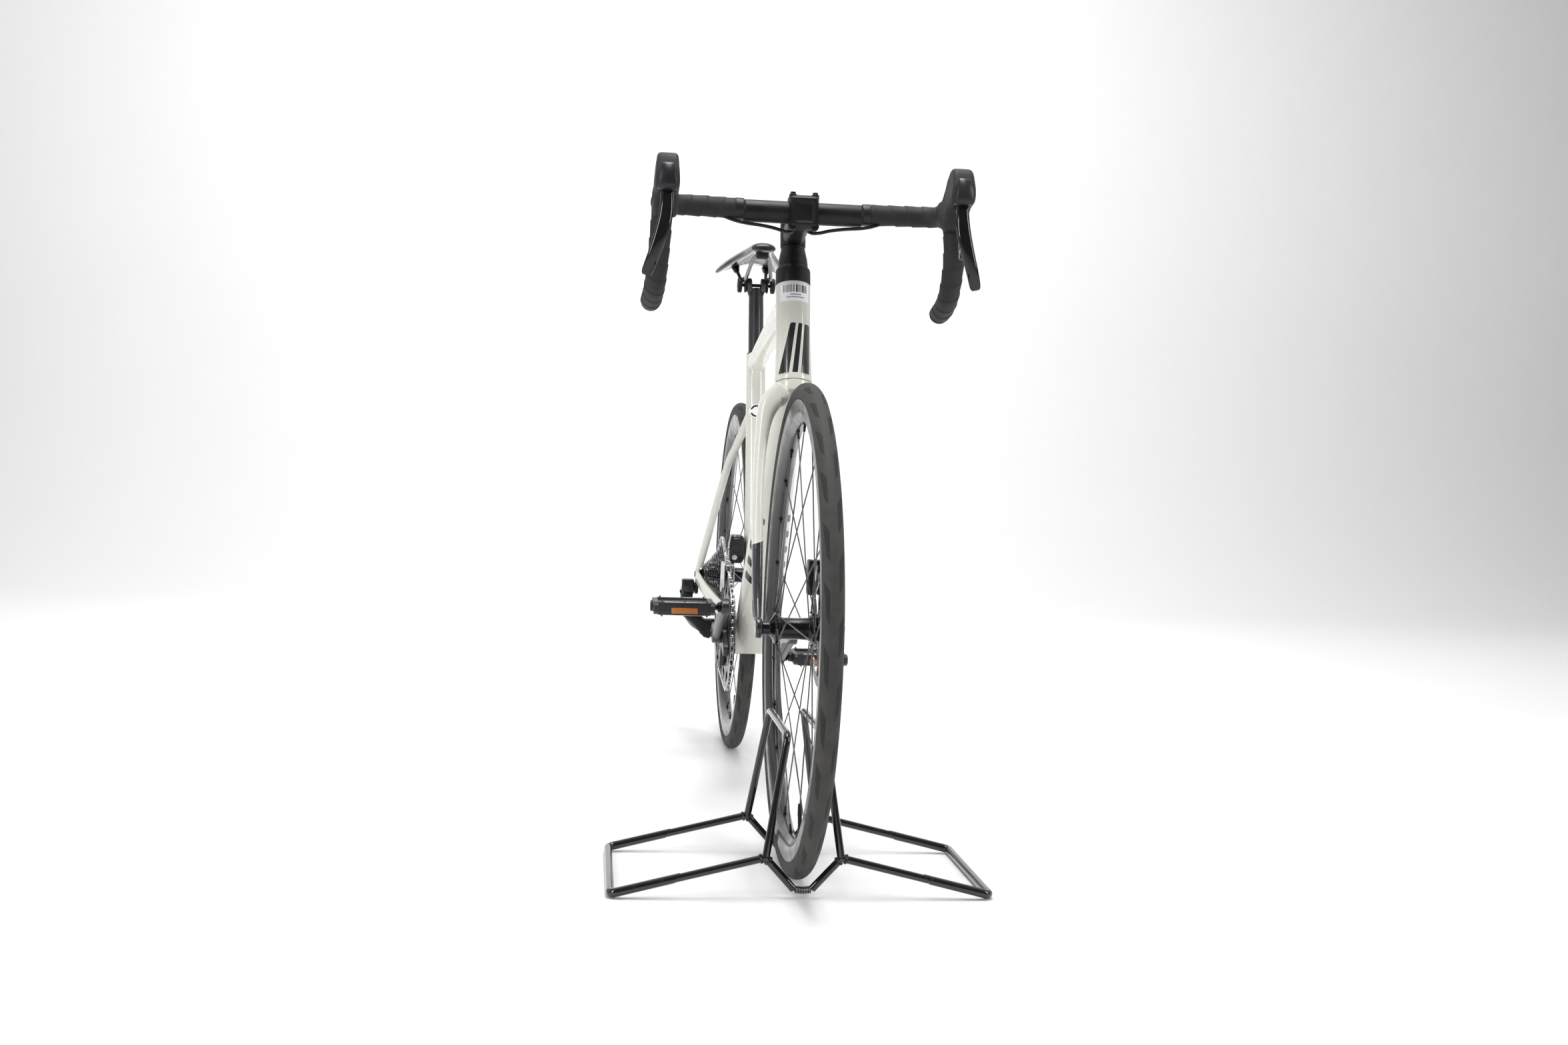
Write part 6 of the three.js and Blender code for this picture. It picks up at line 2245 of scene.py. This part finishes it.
def chain_wraps():
    """Each wheel's arc of chain, in order, as points along it."""
    count = len(CHAIN_WHEELS)
    runs = [tangent_turns(CHAIN_WHEELS[i], CHAIN_WHEELS[(i + 1) % count]) for i in range(count)]
    arcs = []
    for k in range(count):
        centre, radius, way, x = CHAIN_WHEELS[k]
        start = runs[k - 1][1]
        swept = runs[k][0] - start
        while way > 0 and swept > 0:
            swept -= TAU
        while way < 0 and swept < 0:
            swept += TAU
        while abs(swept) > TAU:
            swept -= math.copysign(TAU, swept)
        steps = max(6, int(abs(swept) / 0.03))
        arc = []
        for i in range(steps + 1):
            turn = start + swept * i / steps
            arc.append(round_axle(centre, radius, turn, x))
        arcs.append(arc)
    return arcs


def chain_link(a, b, wide):
    """Two side plates with waists, their rivets and a roller."""
    along = (b - a).normalized()
    across = Vector((1, 0, 0)) - along * along.x
    across.normalize()
    up = along.cross(across)
    length = (b - a).length
    outline = []
    for i in range(9):
        turn = math.pi / 2 + math.pi * i / 8
        outline.append(at_turn(0, 0, 3.7, turn))
    outline.append((length / 2, -2.7))
    for i in range(9):
        turn = -math.pi / 2 + math.pi * i / 8
        outline.append(at_turn(length, 0, 3.7, turn))
    outline.append((length / 2, 2.7))
    whole = Shape()
    inner_x, outer_x = (1.9, 2.75) if wide else (1.0, 1.85)
    for side in (-1, 1):
        rings = []
        for depth, shrink in ((inner_x, 1), (outer_x - 0.15, 1), (outer_x, 0.93)):
            ring = []
            for p, q in outline:
                spot = Vector((length / 2 + (p - length / 2) * shrink, q * shrink))
                ring.append(a + along * spot.x + up * spot.y + across * side * depth)
            rings.append(ring)
        whole += skin(rings)
    for spot in (a,):
        whole += rod(spot - across * 2.8, spot + across * 2.8, 1.6, 12, 0.3)
        whole += rod(spot - across * 0.98, spot + across * 0.98, 3.4, 16, 0.2)
    return whole


def chain_pieces():
    """The loop in two, cut on the upper jockey: the part the frame holds and the part the cage carries."""
    ring_arc, cassette_arc, upper_arc, lower_arc = chain_wraps()
    loop = ring_arc + cassette_arc + upper_arc + lower_arc + [ring_arc[0]]
    lengths = lengths_along(loop)
    links = 2 * round(lengths[-1] / PITCH / 2)
    step = lengths[-1] / links
    pins, k = [], 0
    for i in range(links):
        wanted = step * i
        while lengths[k + 1] < wanted:
            k += 1
        pins.append(loop[k].lerp(loop[k + 1], (wanted - lengths[k]) / (lengths[k + 1] - lengths[k])))
    fixed_length = lengths[len(ring_arc) + len(cassette_arc) + len(upper_arc) // 2 - 1]
    fixed, carried = [], []
    for i in range(links):
        link = chain_link(pins[i], pins[(i + 1) % links], i % 2 == 0)
        (fixed if step * i < fixed_length - 2 else carried).append(link)
    return total(fixed), total(carried)


# ---------------------------------------------------------------- derailleurs
CAGE_OUTER, CAGE_INNER = (-35.5, -33.5), (-21.7, -19.7)


def jockey(centre):
    outline = gear_outline(JOCKEY_TEETH, centre.y, centre.z, -0.9)
    outline = [(centre.y + (y - centre.y) * 0.97, centre.z + (z - centre.z) * 0.97) for y, z in outline]
    holes = [circle(8.2, 32, centre.y, centre.z)]
    x = FIRST_SPROCKET_X
    teeth = plate(outline, x - 1.2, x + 1.2, holes, 0.3)
    seal = [(4.4, x - 1.9), (8.6, x - 1.9), (8.6, x + 1.9), (4.4, x + 1.9)]
    return teeth + turned_across(seal, 0.3, centre, 32, True)


def cage_outline():
    """The plate's outline round both jockey wheels, waisted between them."""
    a, b = UPPER_JOCKEY, LOWER_JOCKEY
    heading = math.atan2(b.z - a.z, b.y - a.y)
    outline = []
    for centre, radius, start in ((a, 15, heading + math.pi / 2), (b, 12, heading - math.pi / 2)):
        for i in range(15):
            turn = start + math.pi * i / 14
            outline.append(at_turn(centre.y, centre.z, radius, turn))
        other = b if centre is a else a
        side = -1 if centre is a else 1
        mid_y, mid_z = (centre.y + other.y) / 2, (centre.z + other.z) / 2
        across = (-math.sin(heading) * side, math.cos(heading) * side)
        waist = 8.5
        outline.append((mid_y + across[0] * waist, mid_z + across[1] * waist))
    return outline


def cage():
    holes = []
    a, b = UPPER_JOCKEY, LOWER_JOCKEY
    for share, radius in ((0.42, 4.2), (0.56, 3.8)):
        holes.append(circle(radius, 20, a.y + (b.y - a.y) * share, a.z + (b.z - a.z) * share))
    whole = plate(cage_outline(), *CAGE_OUTER, holes, 0.5)
    whole += plate(cage_outline(), *CAGE_INNER, holes, 0.5)
    for centre in (a, b):
        outer, inner = CAGE_OUTER[0] - 0.2, CAGE_INNER[1] + 0.2
        whole += rod((outer, centre.y, centre.z), (inner, centre.y, centre.z), 4, 24)
        whole += socket_screw((CAGE_INNER[1] - 0.2, centre.y, centre.z), (1, 0, 0), 4.6, 1.6, 1.6)
    return whole


def derailleur_shape():
    """The upper knuckle, the faceted link outboard and the lower knuckle."""
    arm = loft(
        [
            [-92, 510, 318, 22, 26],
            [-94, 520, 296, 24, 32],
            [-84, 534, 256, 26, 34],
            [-62, 526, 236, 24, 30],
        ],
        32,
        fullness=3.2,
    )
    upper = turned([(0, -102), (13, -102), (13, -79.8), (0, -79.8)], 2, (0, 506, 312), (1, 0, 0), 40)
    lower = turned([(0, -65.5), (16, -65.5), (16, -35.8), (0, -35.8)], 2, (0, 520, 234), (1, 0, 0), 40)
    motor = slab((-104.5, 493, 303), (-80.5, 520, 329), 3, 3)
    return arm + upper + lower + motor


def derailleur_covers():
    """Faceted covers over the links and the motor, with a raised panel on the lower one."""
    wedge = [
        (-100, 268), (-92, 262), (-50, 246), (-40, 236), (-39, 220),
        (-47, 211), (-58, 214), (-84, 244), (-101, 258),
    ]
    whole = standing_plate(rounded(wedge, 2.5, 3), 503, 545, 2.0)
    panel = [(-92, 259), (-52, 243), (-45, 236), (-45, 221), (-50, 216), (-58, 219), (-82, 246)]
    whole += standing_plate(rounded(panel, 2, 3), 501.6, 504, 0.7)
    link = [(-103, 262), (-84, 262), (-82, 300), (-101, 304)]
    whole += standing_plate(rounded(link, 2, 3), 498, 540, 2.0)
    whole += slab((-102.5, 491.4, 306), (-83, 494, 325), 1.0, 2)
    return whole


def derailleur_links():
    """The mounting bolt, the parallelogram's pins and the inner link."""
    whole = socket_screw((-101.6, 506, 312), (-1, 0, 0), 7.5, 2.4, 2.8)
    whole += rod((-80.2, 506, 312), (-79.2, 506, 312), 10.4, 32, 0.3)
    for x, y, z in ((-97, 508, 303), (-84, 533, 262)):
        whole += rod((x - 10.5, y, z), (x + 10.5, y + 2, z + 2), 3.2, 20)
    whole += socket_screw((-65.2, 520, 234), (-1, 0, 0), 6.4, 2.2, 2.6)
    return whole


def changer_cage():
    outline = [(100, 352), (120, 344), (160, 340), (186, 330), (190, 342), (176, 387.6), (106, 387.6)]
    soft = rounded(outline, 6, 4)
    slot = rounded([(118, 358), (158, 354), (156, 376), (118, 378)], 4, 3)
    whole = plate(soft, -54.5, -53, [], 0.4)
    whole += plate(soft, -38, -36.5, [slot], 0.4)
    return whole + slab((-54.4, 113, 384), (-36.6, 169, 387.6), 1.0, 2)


def changer_body():
    """The motor's rounded box, its cover line and a bracket to the seat tube."""
    outline = [
        (-46, 392), (-46, 420), (-43, 437), (-24, 437), (-19.8, 430), (-19.8, 396), (-24, 388), (-40, 388),
    ]
    whole = standing_plate(rounded(outline, 4, 4), 112, 150, 3.0)
    panel = [(-42, 408), (-41, 431), (-27, 432), (-24, 426), (-24, 410), (-30, 406)]
    whole += standing_plate(rounded(panel, 2.5, 3), 110.6, 114, 0.9)
    whole += rod((-37, 113, 398), (-37, 147, 398), 6.6, 24, 1.2)
    whole += slab((-22, 118, 404), (-16.5, 158, 426), 2, 3)
    return whole + slab((-30, 109.8, 392), (-22.5, 116, 402), 1.4, 2)


def changer_screws():
    silver = socket_screw((-37, 112.6, 398), (0, -1, 0), 4.4, 2.4, 2.0)
    silver += socket_screw((-46, 131, 412), (-1, 0, 0), 3.4, 1.4, 1.5)
    return silver, socket_screw((-26, 110.4, 397), (0, -1, 0), 3.2, 1.6, 1.5)


def build_drivetrain():
    piece("sprocket_stack", cassette(), "cassette", M["sprocket"], "cassette")
    piece("sprocket_spacers", cassette_spacers(), "cassette", M["spacer"])
    for name, half in (("right", 1), ("left", -1)):
        arm = fused(f"{name}_arm", crank_arm(half), voxel=1.0, rounds=4)
        piece(f"{name}_arm", arm, "crankset", M["crank"], f"{name}_crank", sharp=60)
        piece(f"{name}_arm_details", crank_details(half), "crankset", M["axle"])
        build_pedal(name, half)
    piece("crank_spider", spider(), "crankset", M["crank"])
    piece("crank_axle", left_axle(), "crankset", M["bearing"])
    big = chainring(OUTER_RING, inner=52, thickness=4, tip=-1.6, start=0.02)
    piece("big_ring", big, "crankset", M["ring"], "outer_chainring")
    small = chainring(INNER_RING, inner=46, thickness=3, tip=2.0, start=0.05)
    piece("small_ring", small, "crankset", M["ring"], "inner_chainring")
    piece("ring_bolts", ring_bolts(), "crankset", M["axle"])
    fixed, carried = chain_pieces()
    piece("upper_chain", fixed, "main_frame", M["chain"], "chain")
    lower = piece("lower_chain", carried, None, M["chain"])
    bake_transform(lower)
    for name, centre in (("upper", UPPER_JOCKEY), ("lower", LOWER_JOCKEY)):
        wheel = jockey(centre)
        slot, node = "derailleur_black", f"{name}_jockey_wheel"
        piece(f"{name}_pulley", wheel, f"{name}_jockey", M["mech"], node)
    piece("pulley_cage", cage(), "derailleur_cage", M["mech"], "rear_derailleur_cage")
    body = fused("rear_mech_body", derailleur_shape(), voxel=1.0, rounds=4)
    node = "rear_derailleur_body"
    piece("rear_mech_body", body, "main_frame", M["mech"], node, sharp=60)
    piece("rear_mech_covers", derailleur_covers(), "main_frame", M["mech"])
    red_dot = slab((-45, 500.9, 226), (-41.5, 503, 230.5), 0.4, 2)
    piece("rear_mech_mark", red_dot, "main_frame", M["red"])
    piece("rear_mech_links", derailleur_links(), "main_frame", M["axle"])
    cage_node, body_node = "front_derailleur_cage", "front_derailleur_body"
    piece("changer_cage", changer_cage(), "front_changer_cage", M["edge"], cage_node)
    piece("changer_body", changer_body(), "main_frame", M["mech"], body_node)
    silver, dark = changer_screws()
    piece("changer_screw", silver, "main_frame", M["edge"])
    piece("changer_trim_screw", dark, "main_frame", M["axle"])


# ---------------------------------------------------------------- room and light
def stand_on_floor():
    mesh = bpy.data.meshes.new("floor")
    reach, depth, height, curve = 9.0, 5.0, 6.0, 1.6
    rows = [(-6.0, 0.0), (depth - curve, 0.0)]
    for i in range(1, 17):
        turn = math.pi / 2 * i / 16
        rows.append((depth - curve + curve * math.sin(turn), curve * (1 - math.cos(turn))))
    rows.append((depth, height))
    points = [(x, y, z - 0.0005) for y, z in rows for x in (-reach, reach)]
    faces = [(2 * i, 2 * i + 1, 2 * i + 3, 2 * i + 2) for i in range(len(rows) - 1)]
    mesh.from_pydata(points, [], faces)
    for face in mesh.polygons:
        face.use_smooth = True
    floor = bpy.data.objects.new("floor", mesh)
    paint = Paint("floor_paint", (0.9, 0.9, 0.905), 0.7, specular=0.2)
    clouds = paint.noise(3, 3)
    paint.color(paint.mix(clouds, (0.89, 0.89, 0.895), (0.91, 0.91, 0.915)))
    mesh.materials.append(paint.material)
    bpy.context.scene.collection.objects.link(floor)


def area_light(name, place, target, width, height, power):
    """A white rectangle of light, turned towards its target. Places are in metres."""
    data = bpy.data.lights.new(name, "AREA")
    data.shape = "RECTANGLE"
    data.size, data.size_y = width, height
    data.energy = power
    light = bpy.data.objects.new(name, data)
    light.location = place
    light.rotation_euler = (Vector(target) - Vector(place)).to_track_quat("-Z", "Y").to_euler()
    bpy.context.scene.collection.objects.link(light)


def make_light():
    """A white room behind the object and a dark one in front of it, with soft boxes."""
    world = bpy.data.worlds.new("studio")
    bpy.context.scene.world = world
    world.use_nodes = True
    nodes, links = world.node_tree.nodes, world.node_tree.links
    background = next(n for n in nodes if n.type == "BACKGROUND")
    direction = nodes.new("ShaderNodeTexCoord").outputs["Generated"]
    parts = nodes.new("ShaderNodeSeparateXYZ")
    links.new(direction, parts.inputs[0])
    fade = nodes.new("ShaderNodeMapRange")
    fade.interpolation_type = "SMOOTHSTEP"
    links.new(parts.outputs[1], fade.inputs[0])
    darkest_at, brightest_at, dark, bright = -0.40, 0.65, 0.14, 1.15
    for socket, value in zip(list(fade.inputs)[1:5], (darkest_at, brightest_at, dark, bright)):
        socket.default_value = value
    background.inputs["Color"].default_value = (1, 1, 1, 1)
    links.new(fade.outputs[0], background.inputs["Strength"])
    area_light("overhead", (0, -0.5, 3.2), (0, -0.1, 0.4), 1.1, 2.0, 74)
    area_light("left_bank", (-2.6, -2.2, 1.7), (0, -0.2, 0.5), 0.4, 2.0, 52)
    area_light("right_bank", (2.7, -1.8, 1.8), (0, -0.2, 0.5), 0.4, 2.0, 44)
    area_light("backdrop_light", (0, 1.8, 3.4), (0, 4.8, 1.4), 5.0, 1.2, 120)
    view = bpy.context.scene.view_settings
    view.view_transform = "Standard"
    view.look = "None"
    view.exposure = 0.0


build_stand()
build_wheels()
build_frame()
build_fork()
build_calipers()
build_cockpit()
build_seat()
build_drivetrain()
stand_on_floor()
make_light()
